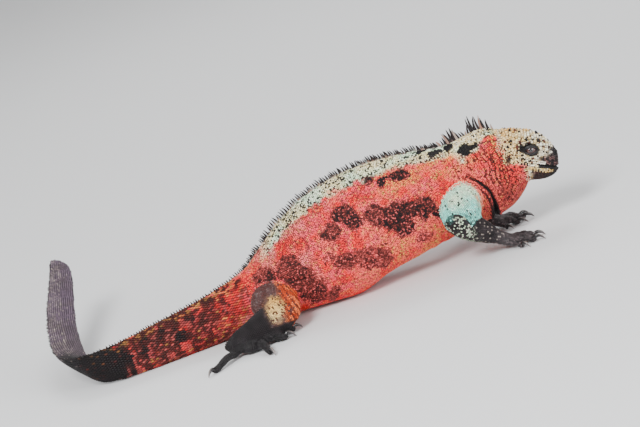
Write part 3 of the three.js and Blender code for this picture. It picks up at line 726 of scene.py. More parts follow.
    def tail(self, where: Sites, fleck: Array, broad: Array, fine: Array) -> Array:
        """Red tail with dark bars that close up towards its end."""
        out = self.flank(where, fleck, broad, fine)
        at = where.at
        rear = smoothstep(-105, -160, at[:, 0])
        out = blend(out, "plum", rear * (fleck < 0.45) * 0.7)
        out = blend(out, "deep_red", rear * (fleck > 0.45) * 0.5)
        mottled = smoothstep(0.42, 0.56, layered(at, 9, 57)) * rear
        out = blend(out, "umber", mottled * (fleck > 0.3) * 0.8)
        out = blend(out, "ochre", rear * (fleck > 0.93) * 0.6)
        bars = 0.5 + 0.5 * np.sin(at[:, 0] / 11.5 * 2 * math.pi / 1.7 + (fine - 0.5) * 3)
        bars *= smoothstep(-130, -230, at[:, 0]) * 0.65
        out = blend(out, "umber", smoothstep(0.36, 0.66, bars + (fleck - 0.5) * 0.5) * 0.9)
        dark = self.patches(at, TAIL_BARS, np.where(at[:, 1] > 0, LEFT_SHIFT, 0.0)) + (fine - 0.5) * 0.4
        dark += (fleck - 0.5) * 0.4
        out = blend(out, "umber", smoothstep(0.35, 0.55, dark) * 0.9)
        out = blend(out, "black", smoothstep(0.75, 1.05, dark) * 0.8)
        top = fade(0.1, 0.22, np.abs(where.round)) * (fleck > 0.6)
        out = blend(out, "ochre", top * 0.5)
        out = blend(out, "umber", fade(0.1, 0.3, np.abs(where.round)) * (fleck < 0.35) * 0.9)
        end = smoothstep(-264, -294, at[:, 0] + (fine - 0.5) * 16)
        return blend(out, "black", end * (0.95 - 0.4 * (fleck > 0.85)))

    def tail_end(self, where: Sites, fleck: Array, broad: Array, fine: Array) -> Array:
        """Slate and lilac end, black with painted shadow where it turns, pale on the keels of its outer side."""
        at = where.at
        out = blend("lilac", "charcoal", smoothstep(0.3, 0.75, broad) * 0.55)
        # black over the part of the tail end where it turns is painted shadow
        bend = fade(10, 62, at[:, 1])
        out = blend(out, "black", bend * 0.85)
        pale = (np.abs(where.round) < 0.55) * smoothstep(0.3, 0.8, fleck)
        return blend(out, "bone", pale * 0.35 * (1 - bend) + (fleck > 0.97) * 0.4)

    def upper_arm(self, where: Sites, fleck: Array, broad: Array, fine: Array) -> Array:
        """Sea-green upper arm, flecked with black, paler in front."""
        at = where.at
        out = blend("sea", "mint", smoothstep(46, 72, side_height(at) + (broad - 0.5) * 30))
        front = smoothstep(179, 188, at[:, 0] + (fine - 0.5) * 10)
        out = blend(out, blend("salmon", "orange", fine), front * 0.85)
        out = blend(out, "white", (fleck > 0.35) * (fleck < 0.5) * 0.45)
        low = fade(26, 42, side_height(at) + (fine - 0.5) * 14 + (at[:, 0] - 160) * 0.35)
        spots = (fleck > 0.95) * 0.85 + low * (fleck > 0.35) * 0.85
        return blend(out, "black", spots)

    def forearm(self, where: Sites, fleck: Array, broad: Array, fine: Array) -> Array:
        """Charcoal forearm, flecked with pale scales near the elbow."""
        at = where.at
        near = fade(156, 174, at[:, 0])
        out = blend("black", "charcoal", 0.1 + 0.6 * fine)
        out = blend(out, "mint", near * (fleck > 0.68) * 0.8)
        return blend(out, "bone", (fleck > 0.88) * 0.6)

    def thigh(self, where: Sites, fleck: Array, broad: Array, fine: Array) -> Array:
        """Mottled thigh: brown above, cream in the middle, rust in front of the knee."""
        at, v = where.at, side_height(where.at)
        out = blend("umber", "grey", 0.15 + 0.5 * fine + (fleck > 0.8) * 0.3)
        middle = fade(0.55, 1.15, np.hypot((at[:, 0] + 84) / 14, (v - 13) / 18) + (fine - 0.5) * 0.5)
        cream = blend("cream", "ochre", broad)
        out = blend(out, blend(cream, "umber", (fleck > 0.78) * 0.85), middle)
        front = smoothstep(-77, -70, at[:, 0] + (fine - 0.5) * 9)
        warm = blend("rust", "orange", smoothstep(0.35, 0.8, fine))
        stripes = np.sin((at[:, 0] + v * 0.35) * 1.1 + fine * 2)
        warm = blend(warm, "umber", (stripes > 0.55) * 0.6)
        return blend(out, warm, front * (fleck > 0.1))

    def shank(self, where: Sites, fleck: Array, broad: Array, fine: Array) -> Array:
        """Charcoal shank that takes the thigh's colours round the knee."""
        out = blend("charcoal", "black", 0.6 + fine * 0.4)
        knee = self.thigh(where, fleck, broad, fine)
        near = smoothstep(-102, -90, where.at[:, 0] + (fine - 0.5) * 8)
        return blend(out, knee, near * smoothstep(-9, -4, side_height(where.at)))

    def head(self, where: Sites, fleck: Array, broad: Array, fine: Array) -> Array:
        """Cream and ochre face with black between its scales, dark eye, nose and chin; painted shade round the eye, in
        the mouth and in the nostril, and painted highlights on the upper lip and behind the nostril.
        """
        local = to_head(where.at)
        x, z = local[:, 0], local[:, 2]
        rear = fade(6, 30, x)
        out = blend("cream", "ochre", np.clip(smoothstep(0.4, 0.8, broad) * 0.5 + rear * 0.45, 0, 1))
        out = blend(out, "white", (fleck > 0.5) * (0.75 - 0.4 * rear))
        out = blend(out, "umber", (fleck < 0.23) * 0.85)
        out = blend(out, "black", (fleck < 0.13) * 0.9)
        # black round the eye: dark skin, with painted shadow under the brow
        eye = np.hypot((x - 22.5) / 12.5, (z - 9) / 6.8) + (fine - 0.5) * 0.4
        out = blend(out, "black", fade(0.85, 1.05, eye) * 0.93)
        nose = smoothstep(45, 53, x + (fine - 0.5) * 8) * fade(7, 13, z + (fine - 0.5) * 6)
        out = blend(out, blend("charcoal", "black", fine), nose * (fleck > 0.12) * 0.93)
        cheek = fade(12, 26, x) * fade(-13, -7, z + (fine - 0.5) * 8)
        out = blend(out, "red", cheek * (fleck > 0.2) * 0.9)
        out = blend(out, "rose", cheek * (fleck > 0.7) * 0.6)
        gap = z - mouth_line(x)
        front = smoothstep(33, 37, x)
        muzzle = smoothstep(34, 41, x + (fine - 0.5) * 6) * smoothstep(0.9, 1.6, gap) * fade(-4, 1, z)
        soft_grey = blend(tint("grey", len(x)) * 0.8, "plum", np.full(len(x), 0.35))
        dusk = smoothstep(0.42, 0.66, noise(local, 2.4, 52)) * 0.85
        out = blend(out, blend(soft_grey, "black", dusk), muzzle * 0.9)
        # white patch above the mouth: a painted highlight on the pale upper lip
        out = blend(out, "white", fade(0.8, 1.1, np.hypot((x - 39.5) / 5.0, (z + 8.6) / 1.9)) * 0.85)
        # black along the closed lips is painted shade in the mouth's slit
        out = blend(out, "black", fade(0.5, 1.0, np.abs(gap)) * smoothstep(20, 27, x) * (1 - front) * 0.9)
        chin = smoothstep(26, 33, x) * fade(-19.5, -16.5, z + (fine - 0.5) * 3)
        out = blend(out, blend("black", "umber", fine), chin * (fleck > 0.12) * 0.93)
        below = line_distance(x, z, LOWER_LIP)
        lip = blend("cream", "ochre", (fleck > 0.5) * 0.5)
        out = blend(out, blend(lip, "black", (fleck < 0.14) * 0.8), fade(1.7, 2.5, below))
        # black in the open mouth is painted shade between the lips
        out = blend(out, "black", front * (gap < 1.0) * (gap > -3.4) * 0.97)
        # white spot behind the nostril: a painted highlight
        out = blend(out, "white", fade(1.5, 2.6, np.hypot(x - 49.5, z - 3.5)) * 0.8)
        # black nostril: dark skin round it and painted shade in its pit
        nostril = np.hypot(x - NOSTRIL_X, z - NOSTRIL_Z)
        out = blend(out, "black", fade(1.6, 3.0, nostril) * 0.97)
        ear = fade(0.6, 1.1, np.hypot((x + 1) / 3.2, (z + 3) / 7.5))
        return blend(out, blend("umber", "black", fine), ear * (fleck > 0.3) * 0.8)


def mouth_line(x: Array) -> Array:
    """The mouth's height in the head's frame."""
    return -8.6 - 5.2 * smoothstep(17, HEAD_LENGTH, x)


def neck_folds() -> list[list[tuple[float, float]]]:
    """Lines of the folds that run down the side of the neck."""
    return [
        [(199 + 5.4 * k, 112 - k), (204 + 5.2 * k, 86), (203 + 4.7 * k, 62), (199 + 3.8 * k, 34 + 1.5 * k)]
        for k in range(8)
    ]


def line_distance(x: Array, v: Array, path: list[tuple[float, float]]) -> Array:
    """The distance of each place from a line of points."""
    p = np.stack([x, v], 1)
    best = np.full(len(p), 1e9)
    for a, b in zip(path[:-1], path[1:]):
        a, b = np.array(a, float), np.array(b, float)
        ab = b - a
        share = np.clip((p - a) @ ab / (ab @ ab), 0, 1)
        best = np.minimum(best, np.linalg.norm(p - a - share[:, None] * ab, axis=1))
    return best


def deselect() -> None:
    """Leaves nothing selected or active."""
    bpy.ops.object.select_all(action="DESELECT")
    bpy.context.view_layer.objects.active = None


def make_active(obj: bpy.types.Object) -> None:
    """Leaves one object selected and active."""
    deselect()
    obj.select_set(True)
    bpy.context.view_layer.objects.active = obj


def add_object(name: str, data: bpy.types.ID) -> bpy.types.Object:
    """A new object in the scene."""
    obj = bpy.data.objects.new(name, data)
    bpy.context.scene.collection.objects.link(obj)
    return obj


def new_object(name: str, corners: Array, faces: list[tuple[int, ...]]) -> bpy.types.Object:
    """A mesh object from corners in millimetres, with nothing else selected."""
    mesh = bpy.data.meshes.new(name)
    mesh.from_pydata((np.asarray(corners) * MM).tolist(), [], faces)
    mesh.update()
    obj = add_object(name, mesh)
    make_active(obj)
    return obj


def corners_of(mesh: bpy.types.Mesh) -> Array:
    """A mesh's corners in millimetres."""
    flat = np.zeros(len(mesh.vertices) * 3, np.float32)
    mesh.vertices.foreach_get("co", flat)
    return flat.reshape(-1, 3).astype(float) / MM


def set_corners(mesh: bpy.types.Mesh, corners: Array) -> None:
    """Moves a mesh's corners, given in millimetres."""
    mesh.vertices.foreach_set("co", (corners * MM).astype(np.float32).ravel())
    mesh.update()


def normals_of(mesh: bpy.types.Mesh) -> Array:
    """A mesh's directions outwards at its corners."""
    flat = np.zeros(len(mesh.vertices) * 3, np.float32)
    mesh.vertex_normals.foreach_get("vector", flat)
    return flat.reshape(-1, 3).astype(float)


def paint(mesh: bpy.types.Mesh, colour: Array) -> None:
    """Stores a screen colour at each corner, for the finish to read."""
    layer = mesh.attributes.new("hide", "FLOAT_COLOR", "POINT")
    rgba = np.ones((len(mesh.vertices), 4), np.float32)
    rgba[:, :3] = to_linear(colour)
    layer.data.foreach_set("color", rgba.ravel())


def nearest(surface: BVHTree, places: Array) -> tuple[Array, Array, Array]:
    """The nearest places on a surface.

    Args:
        surface: The surface.
        places: Places about it, in millimetres.

    Returns:
        For each the nearest place, the direction outwards there and the distance, in millimetres.
    """
    hits = [surface.find_nearest(Vector(p * MM)) for p in places]
    at, out = np.array([h[0][:] for h in hits]) / MM, np.array([h[1][:] for h in hits])
    return at, out, np.array([h[3] for h in hits]) / MM


def tree_of(places: Array) -> KDTree:
    """A tree that finds the nearest of some places."""
    tree = KDTree(len(places))
    for i, place in enumerate(places):
        tree.insert(place, i)
    tree.balance()
    return tree


def join_shells(shells: list[tuple[Array, list]]) -> tuple[Array, list]:
    """Several closed shapes as the corners and faces of one mesh."""
    starts = np.cumsum([0] + [len(points) for points, _ in shells])
    faces = [tuple(i + int(start) for i in poly) for start, (_, polys) in zip(starts, shells) for poly in polys]
    return np.concatenate([points for points, _ in shells]), faces


def face_outwards() -> None:
    """Turns the faces of the active mesh outwards."""
    bpy.ops.object.mode_set(mode="EDIT")
    bpy.ops.mesh.select_all(action="SELECT")
    bpy.ops.mesh.normals_make_consistent(inside=False)
    bpy.ops.object.mode_set(mode="OBJECT")


@dataclass
class Body:
    """The whole animal as lengths of flesh, and the one skin over them."""

    inset: float = 0.75  # how far the skin lies inside the sections, for the scales' thickness
    voxel: float = 1.97  # of the remeshed skin, which has to stay under 200,000 triangles
    trunk: Tube = field(init=False)
    tubes: list[Tube] = field(init=False)
    claws: dict[str, list[Array]] = field(init=False)

    def __post_init__(self) -> None:
        """Draws every length from its joints."""
        self.trunk = Tube(TRUNK, Region.TORSO, 56, 3.0)
        self.tubes = [self.trunk]
        self.claws = {}
        for side, joints in LIMB_JOINTS.items():
            limb = Limb(side, joints)
            fingers, front = limb.digits("palm", FINGERS, Region.FINGER)
            toes, rear = limb.digits("sole", HIND_TOES, Region.TOE)
            self.tubes += limb.arm() + fingers + limb.leg() + toes
            self.claws[f"hand_{side}"] = front
            self.claws[f"foot_{side}"] = rear

    def head_shell(self) -> tuple[Array, list[tuple[int, ...]]]:
        """Corners and faces of the plain head."""
        t = np.linspace(0, len(HEAD) - 1, 45)
        rows = smooth_rows(HEAD, t)
        angle = np.arange(56) / 56 * 2 * math.pi
        corners = np.concatenate([self.head_ring(row, angle) for row in rows])
        return from_head(corners), wrap_rings(len(rows), len(angle))

    def head_ring(self, row: Array, angle: Array) -> Array:
        """One section of the head in its own frame."""
        x, top, bottom, half, square_top, square_low = row
        middle, high = (top + bottom) / 2, (top - bottom) / 2
        n = np.where(np.cos(angle) >= 0, square_top, square_low)
        y = power(np.sin(angle), n) * (half - self.inset)
        z = middle + np.cos(angle) * (high - self.inset)
        return np.stack([np.full(len(angle), x - self.inset * (x > 50)), y, z], 1)

    def head_surface(self, x: Array, z: Array, sign: float) -> Array:
        """Places on one side of the plain head, by length and height in its frame."""
        t = np.interp(x, HEAD[:, 0], np.arange(len(HEAD)))
        rows = smooth_rows(HEAD, t)
        middle, high = (rows[:, 1] + rows[:, 2]) / 2, (rows[:, 1] - rows[:, 2]) / 2
        share = np.clip((z - middle) / high, -1, 1)
        n = np.where(share >= 0, rows[:, 4], rows[:, 5])
        return np.stack([x, sign * rows[:, 3] * power(np.sqrt(1 - share**2), n), z], 1)

    def eye_centre(self, sign: float) -> Array:
        """The middle of an eyeball in the head's frame."""
        skin = self.head_surface(np.array([EYE_X]), np.array([EYE_Z]), sign)[0]
        return skin - np.array([0, sign * (EYE_RADIUS - 2.4), 0])

    def make_skin(self) -> bpy.types.Object:
        """One closed skin over every length, smooth where they meet."""
        shells = [tube.shell(-self.inset) for tube in self.tubes] + [self.head_shell()]
        skin = new_object("skin", *join_shells(shells))
        face_outwards()
        remesh = skin.modifiers.new("one skin", "REMESH")
        remesh.mode = "VOXEL"
        remesh.voxel_size = self.voxel * MM
        bpy.ops.object.modifier_apply(modifier=remesh.name)
        self.keep_largest(skin)
        return skin

    def keep_largest(self, skin: bpy.types.Object) -> None:
        """Drops any loose scrap that the remeshing left."""
        work = bmesh.new()
        work.from_mesh(skin.data)
        left = set(work.verts)
        islands = []
        while left:
            stack, island = [left.pop()], []
            while stack:
                vert = stack.pop()
                island.append(vert)
                for edge in vert.link_edges:
                    other = edge.other_vert(vert)
                    if other in left:
                        left.discard(other)
                        stack.append(other)
            islands.append(island)
        islands.sort(key=len, reverse=True)
        for island in islands[1:]:
            bmesh.ops.delete(work, geom=island, context="VERTS")
        work.to_mesh(skin.data)
        work.free()

    def refine_head(self, skin: bpy.types.Object) -> None:
        """Halves the faces of the head, for its finer forms."""
        work = bmesh.new()
        work.from_mesh(skin.data)
        work.verts.ensure_lookup_table()
        flat = np.array([v.co[:] for v in work.verts]) / MM
        local = to_head(flat)
        face_zone = (local[:, 0] > 4) & (np.abs(local[:, 1]) < 40) & (local[:, 2] > -40)
        wanted = {v for v, inside in zip(work.verts, face_zone) if inside}
        edges = [e for e in work.edges if e.verts[0] in wanted and e.verts[1] in wanted]
        bmesh.ops.subdivide_edges(work, edges=edges, cuts=1, use_grid_fill=True)
        work.to_mesh(skin.data)
        work.free()


@dataclass
class Atlas:
    """Where every place on the body lies, read from the nearest of many samples."""

    body: Body
    surface: BVHTree
    samples: Sites = field(init=False)
    tree: KDTree = field(init=False)
    reach: float = 2.6  # how far from the skin a sample may lie, in millimetres

    def __post_init__(self) -> None:
        """Samples each length and keeps what lies on the skin."""
        found = []
        for k, tube in enumerate(self.body.tubes):
            spacing = 3.4 if k == 0 else (2.6 if tube.sides > 30 else 1.7)
            part = tube.lattice(0, tube.lengths[-1], spacing, True)
            part.tube[:] = k
            if k == 0:
                part.region = self.trunk_region(part.along)
            found.append(part)
        found.append(self.head_sites(2.6))
        samples = join_sites(found)
        samples = samples.pick(samples.at[:, 2] > -2)
        self.samples = samples.pick(nearest(self.surface, samples.at)[2] < self.reach)
        self.tree = tree_of(self.samples.at)

    def trunk_region(self, along: Array) -> Array:
        """Neck, torso, tail or tail end, by the length along the trunk."""
        t = self.body.trunk.station(along)
        order = np.searchsorted([NECK_END, TORSO_END, RED_TAIL_END], t)
        names = [Region.NECK, Region.TORSO, Region.TAIL, Region.TAIL_END]
        return np.array([r.value for r in names])[order]

    def head_sites(self, spacing: float) -> Sites:
        """Places in rows over the head."""
        found = []
        for k, x in enumerate(np.arange(-16, HEAD_LENGTH - 0.6, spacing * 0.87)):
            row = smooth_rows(HEAD, np.array([np.interp(x, HEAD[:, 0], np.arange(len(HEAD)))]))[0]
            angle = np.linspace(0, 2 * math.pi, 97)
            ring = self.body.head_ring(row, angle)
            turn, around = spaced_round(ring, angle, spacing, 0.5 * (k % 2), 4)
            at = from_head(self.body.head_ring(row, turn))
            found.append(Sites.row(at, Region.HEAD, x + 20.0, around, len(self.body.tubes), spacing))
        return join_sites(found)

    def look_up(self, points: Array) -> Sites:
        """The part of the body that each place belongs to."""
        index = np.array([self.tree.find(p)[1] for p in points])
        near = self.samples.pick(index)
        near.at = points
        return near


@dataclass
class Sculptor:
    """Shapes the skin: soft joints, folds, wrinkles and the forms of the face."""

    body: Body
    skin: bpy.types.Object

    def __post_init__(self) -> None:
        """Reads which corners are neighbours."""
        mesh = self.skin.data
        pairs = np.zeros(len(mesh.edges) * 2, np.int32)
        mesh.edges.foreach_get("vertices", pairs)
        self.pairs = pairs.reshape(-1, 2)
        self.count = len(mesh.vertices)
        self.degree = np.maximum(np.bincount(self.pairs.ravel(), minlength=self.count), 1)

    def neighbours_mean(self, values: Array) -> Array:
        """The mean of each corner's neighbours."""
        a, b = self.pairs[:, 0], self.pairs[:, 1]
        out = np.empty_like(values)
        for k in range(values.shape[1]):
            total = np.bincount(a, values[b, k], self.count) + np.bincount(b, values[a, k], self.count)
            out[:, k] = total / self.degree
        return out

    def relax(self, corners: Array, share: Array, rounds: int) -> Array:
        """Smooths the skin, each corner by its own share."""
        for _ in range(rounds):
            corners = corners + (self.neighbours_mean(corners) - corners) * share[:, None]
        return corners

    def soften_joints(self, corners: Array, where: Sites) -> Array:
        """Fills the creases where limbs, toes and head meet the body."""
        edge = np.zeros(self.count)
        differs = where.tube[self.pairs[:, 0]] != where.tube[self.pairs[:, 1]]
        edge[self.pairs[differs].ravel()] = 1
        small = where.within(Region.FINGER, Region.TOE)
        spread = edge.copy()
        for _ in range(7):
            wider = self.neighbours_mean(spread[:, None])[:, 0] * 1.02
            spread = np.maximum(spread, np.where(small, wider * 0.75, wider))
        nape = smoothstep(112, 122, corners[:, 2]) * smoothstep(180, 195, corners[:, 0])
        return self.relax(corners, np.clip(spread * 1.6, 0, 1) * 0.6 * (1 - 0.85 * nape), 22)

    def fold(self, x: Array, v: Array, path: list[tuple[float, float]], depth: float, width: float) -> Array:
        """A crease along a line with a soft swelling on both sides of it."""
        d = line_distance(x, v, path) / width
        return -depth * np.exp(-(d**2)) + depth * 0.42 * np.exp(-((d - 1.9) ** 2) / 0.7)

    def body_folds(self, where: Sites) -> Array:
        """How far the skin of trunk and limbs rises or sinks."""
        at = where.at
        wobble = (noise(at, 12, 90) - 0.5) * 5
        x, v = at[:, 0] + wobble, side_height(at) + (noise(at, 12, 91) - 0.5) * 4
        lift = np.zeros(len(at))
        trunk = where.within(Region.NECK, Region.TORSO, Region.TAIL)
        neck = where.within(Region.NECK)
        lift += trunk * self.fold(x, v, SHOULDER_FOLD, 2.8, 2.4)
        for k, path in enumerate(neck_folds()):
            lift += neck * self.fold(x, v, path, 1.7 + 0.5 * (k % 3), 1.9)
        for k in range(4):
            path = [(118 + 9 * k, 14 + 5 * k), (98 + 9 * k, 8 + 3 * k), (76 + 9 * k, 4 + 2 * k)]
            lift += trunk * self.fold(x, v, path, 0.7, 1.6)
        for k in range(4):
            path = [(-66 + 5 * k, 46 - 3 * k), (-50 + 5 * k, 36 - k), (-42 + 5 * k, 18), (-40 + 6 * k, 4)]
            lift += trunk * self.fold(x, v, path, 0.9, 1.8)
        lift += trunk * (layered(at, 16, 12) - 0.5) * 1.0
        crest = np.exp(-((where.round * 30) ** 2) / 4)
        lift += trunk * crest * 0.8
        lift += 2.2 * bell(at[:, 0] - 224, 13) * smoothstep(112, 124, at[:, 2])
        limbs = where.within(Region.UPPER_ARM, Region.FOREARM, Region.THIGH, Region.SHANK)
        return lift + limbs * (layered(at, 8, 15) - 0.5) * 0.9

    def face_forms(self, where: Sites) -> Array:
        """How far the skin of the head rises or sinks."""
        local = to_head(where.at)
        x, y, z = local[:, 0], local[:, 1], local[:, 2]
        front = smoothstep(20, 29, x)
        gap = z - mouth_line(x)
        lift = -1.9 * bell(gap, 0.85) * front
        lift += 0.75 * bell(np.abs(gap) - 2.5, 1.5) * front
        eye = np.hypot((x - EYE_X) / 7.6, (z - EYE_Z) / 5.6)
        lift -= 7.0 * fade(0.55, 1.0, eye) + 1.3 * bell(eye - 1.25, 0.3)
        brow = line_distance(x, z, BROW)
        lift += 1.9 * bell(brow, 3.4)
        under = line_distance(x, z, EYE_BAG)
        lift += 0.8 * bell(under, 2.6)
        nostril = np.hypot(x - NOSTRIL_X, z - NOSTRIL_Z)
        lift += 1.5 * bell(nostril, 3.4) - 3.4 * bell(nostril, 1.35)
        ear = np.hypot((x - 1) / 3.4, (z + 3) / 5.4)
        lift += -2.2 * fade(0.6, 1.0, ear) + 0.7 * bell(ear - 1.35, 0.3)
        lift += 1.6 * np.exp(-(((x - 12) / 9) ** 2 + ((z + 17) / 8) ** 2))
        side = smoothstep(6, 12, np.abs(y))
        keep = np.where(x > 50, 1.0, side)
        return where.within(Region.HEAD) * (lift * keep + (layered(where.at, 6, 19) - 0.5) * 0.7)

    def work(self, where: Sites) -> None:
        """Gives the skin its final shape."""
        mesh = self.skin.data
        corners = corners_of(mesh)
        corners = self.relax(corners, np.full(self.count, 0.5), 3)
        corners = self.soften_joints(corners, where)
        set_corners(mesh, corners)
        normals = normals_of(mesh)
        moved = Sites(corners, where.region, where.along, where.round, where.tube, where.size)
        lift = self.body_folds(moved) + self.face_forms(moved) + 0.12
        corners = corners + normals * lift[:, None]
        corners = self.relax(corners, np.full(self.count, 0.25), 1)
        corners[:, 2] = np.maximum(corners[:, 2], SKIN_LOWEST)
        set_corners(mesh, corners)


class Scale(Enum):
    """The kinds of scale on the animal."""

    GRANULE = "granule"
    KEELED = "keeled"
    CONE = "cone"
    PLATE = "plate"


def ring_template(levels: list[tuple[float, ...]], sides: int, tip: tuple[float, float]) -> tuple[Array, list]:
    """A small closed shape over a few rings.

    Args:
        levels: For each ring its radius, height and shift towards the tail.
        sides: Corners in a ring.
        tip: Height and shift of the point on top.

    Returns:
        Its corners, a unit wide, and its faces.
    """
    turn = (np.arange(sides) + 0.5) / sides * 2 * math.pi
    corners = [np.stack([np.cos(turn) * r + s, np.sin(turn) * r, np.full(sides, h)], 1) for r, h, s in levels]
    corners.append(np.array([[tip[1], 0, tip[0]]]))
    return np.concatenate(corners), pointed_rings(len(levels), sides)


def scale_template(kind: Scale) -> tuple[Array, list]:
    """The one scale of each kind that all of its kind are copied from."""
    if kind is Scale.GRANULE:
        return ring_template([(0.56, -0.35, 0), (0.43, 0.62, 0.05)], 6, (1.0, 0.12))
    if kind is Scale.CONE:
        return ring_template([(0.56, -0.35, 0), (0.46, 0.3, 0.03), (0.22, 0.78, 0.12)], 7, (1.05, 0.2))
    if kind is Scale.PLATE:
        return ring_template([(0.55, -0.4, 0), (0.5, 0.55, 0.0), (0.3, 0.95, 0.02)], 6, (1.0, 0.05))
    low = [(-0.5, 0.36), (0.16, 0.5), (0.5, 0.3), (0.5, -0.3), (0.16, -0.5), (-0.5, -0.36)]
    corners = [(x, y, -0.35) for x, y in low] + [(x * 0.96, y * 0.9, 0.3) for x, y in low]
    corners += [(-0.34, 0, 0.5), (0.1, 0, 0.85), (0.7, 0, 1.1)]
    faces = [tuple(range(5, -1, -1))] + [(k, (k + 1) % 6, 6 + (k + 1) % 6, 6 + k) for k in range(6)]
    faces += [(6, 7, 13, 12), (7, 8, 14, 13), (8, 9, 14), (9, 10, 13, 14), (10, 11, 12, 13), (11, 6, 12)]
    return np.array(corners, float), faces


def copied_mesh(name: str, corners: Array, faces: list, count: int) -> bpy.types.Object:
    """A mesh of many copies of the same faces.

    Args:
        name: The piece's name.
        corners: The corners of every copy in turn, in millimetres.
        faces: The faces of one copy.
        count: How many copies there are.

    Returns:
        The piece.
    """
    sizes = np.tile([len(f) for f in faces], count)
    loops = np.array([i for f in faces for i in f])
    loops = (loops[None, :] + np.arange(count)[:, None] * (len(corners) // count)).ravel()
    mesh = bpy.data.meshes.new(name)
    mesh.vertices.add(len(corners))
    mesh.vertices.foreach_set("co", (corners * MM).astype(np.float32).ravel())
    mesh.loops.add(len(loops))
    mesh.loops.foreach_set("vertex_index", loops.astype(np.int32))
    mesh.polygons.add(len(sizes))
    starts = np.concatenate([[0], np.cumsum(sizes)[:-1]])
    mesh.polygons.foreach_set("loop_start", starts.astype(np.int32))
    mesh.polygons.foreach_set("loop_total", sizes.astype(np.int32))
    mesh.polygons.foreach_set("use_smooth", np.ones(len(sizes), bool))
    mesh.update(calc_edges=True)
    mesh.validate()
    return add_object(name, mesh)


def unwrap_roots(mesh: bpy.types.Mesh, faces: list, shape: Array, unwrap: Array) -> None:
    """Lays every copy as a small patch at its root on the skin's unwrap.

    Args:
        mesh: The mesh of many copies.
        faces: The faces of one copy.
        shape: The corners of one copy, a unit wide.
        unwrap: Where the root of each copy lies on the unwrap.
    """
    layer = mesh.uv_layers.new(name="OFBake")
    corner = np.array([i for f in faces for i in f])
    local = np.clip(shape[corner, :2] * 0.5 / 0.7, -0.5, 0.5) * PATCH_WIDTH
    uv = unwrap[:, None, :] + local[None, :, :]
    layer.data.foreach_set("uv", uv.reshape(-1, 2).astype(np.float32).ravel())


@dataclass
class Coat:
    """Scales of one kind over one stretch of the skin, as a single mesh."""

    name: str
    kind: Scale
    where: Sites
    height: Array
    stretch: float
    grain: Array  # the direction in which each scale lies, towards the tail or the toes

    def build(self, surface: BVHTree, colours: Array, unwrap: Array) -> bpy.types.Object:
        """Sets every scale on the skin.

        Args:
            surface: The skin, for its direction outwards.
            colours: The screen colour of each scale.
            unwrap: Where the root of each lies on the skin's unwrap.

        Returns:
            The finished piece.
        """
        shape, faces = scale_template(self.kind)
        at, out, _ = nearest(surface, self.where.at)
        out = unit(out)
        back = unit(self.grain - out * np.sum(self.grain * out, axis=1, keepdims=True))
        across = np.cross(out, back)
        size, local = self.where.size[:, None, None], shape[None, :, :]
        place = at[:, None, :] + back[:, None, :] * (local[..., 0:1] * size * self.stretch)
        place += across[:, None, :] * (local[..., 1:2] * size)
        place += out[:, None, :] * (local[..., 2:3] * self.height[:, None, None])
        corners = place.reshape(-1, 3)
        corners[:, 2] = np.maximum(corners[:, 2], SCALES_LOWEST)
        piece = copied_mesh(self.name, corners, faces, len(at))
        # each scale is painted darker towards its root, as shade in the gaps between scales
        shade = 0.45 + 0.55 * smoothstep(-0.1, 0.8, shape[:, 2])
        tone = colours[:, None, :] * shade[None, :, None]
        # and a little lighter at its tip, a painted highlight
        tone = tone + (0.05 * smoothstep(0.8, 1.0, shape[:, 2]))[None, :, None]
        paint(piece.data, tone.reshape(-1, 3))
        unwrap_roots(piece.data, faces, shape, unwrap)
        return piece


def spread_unwrap(where: Sites) -> Array:
    """Each place on an unwrap of its part: round one way and along the other."""
    low, high = where.along.min(), where.along.max()
    parts = np.unique(where.tube)
    column = np.searchsorted(parts, where.tube)
    u = (column + 0.04 + 0.92 * (where.round * 0.5 + 0.5)) / len(parts)
    v = 0.02 + 0.96 * (where.along - low) / max(high - low, 1)
    return np.clip(np.stack([u, v], 1), 0.004, 0.996)


def thin_out(where: Sites, closest: float) -> Sites:
    """Drops places that stand closer to an earlier one than a share of their size."""
    kept, cells = [], {}
    cell_size = float(where.size.max()) * closest
    keys = np.floor(where.at / cell_size).astype(int)
    near = [(a, b, c) for a in (-1, 0, 1) for b in (-1, 0, 1) for c in (-1, 0, 1)]
    for i, (key, at) in enumerate(zip(keys.tolist(), where.at.tolist())):
        limit = (where.size[i] * closest) ** 2
        if all(
            (at[0] - other[0]) ** 2 + (at[1] - other[1]) ** 2 + (at[2] - other[2]) ** 2 >= limit
            for a, b, c in near for other in cells.get((key[0] + a, key[1] + b, key[2] + c), ())
        ):
            kept.append(i)
            cells.setdefault(tuple(key), []).append(at)
    return where.pick(np.array(kept, int))


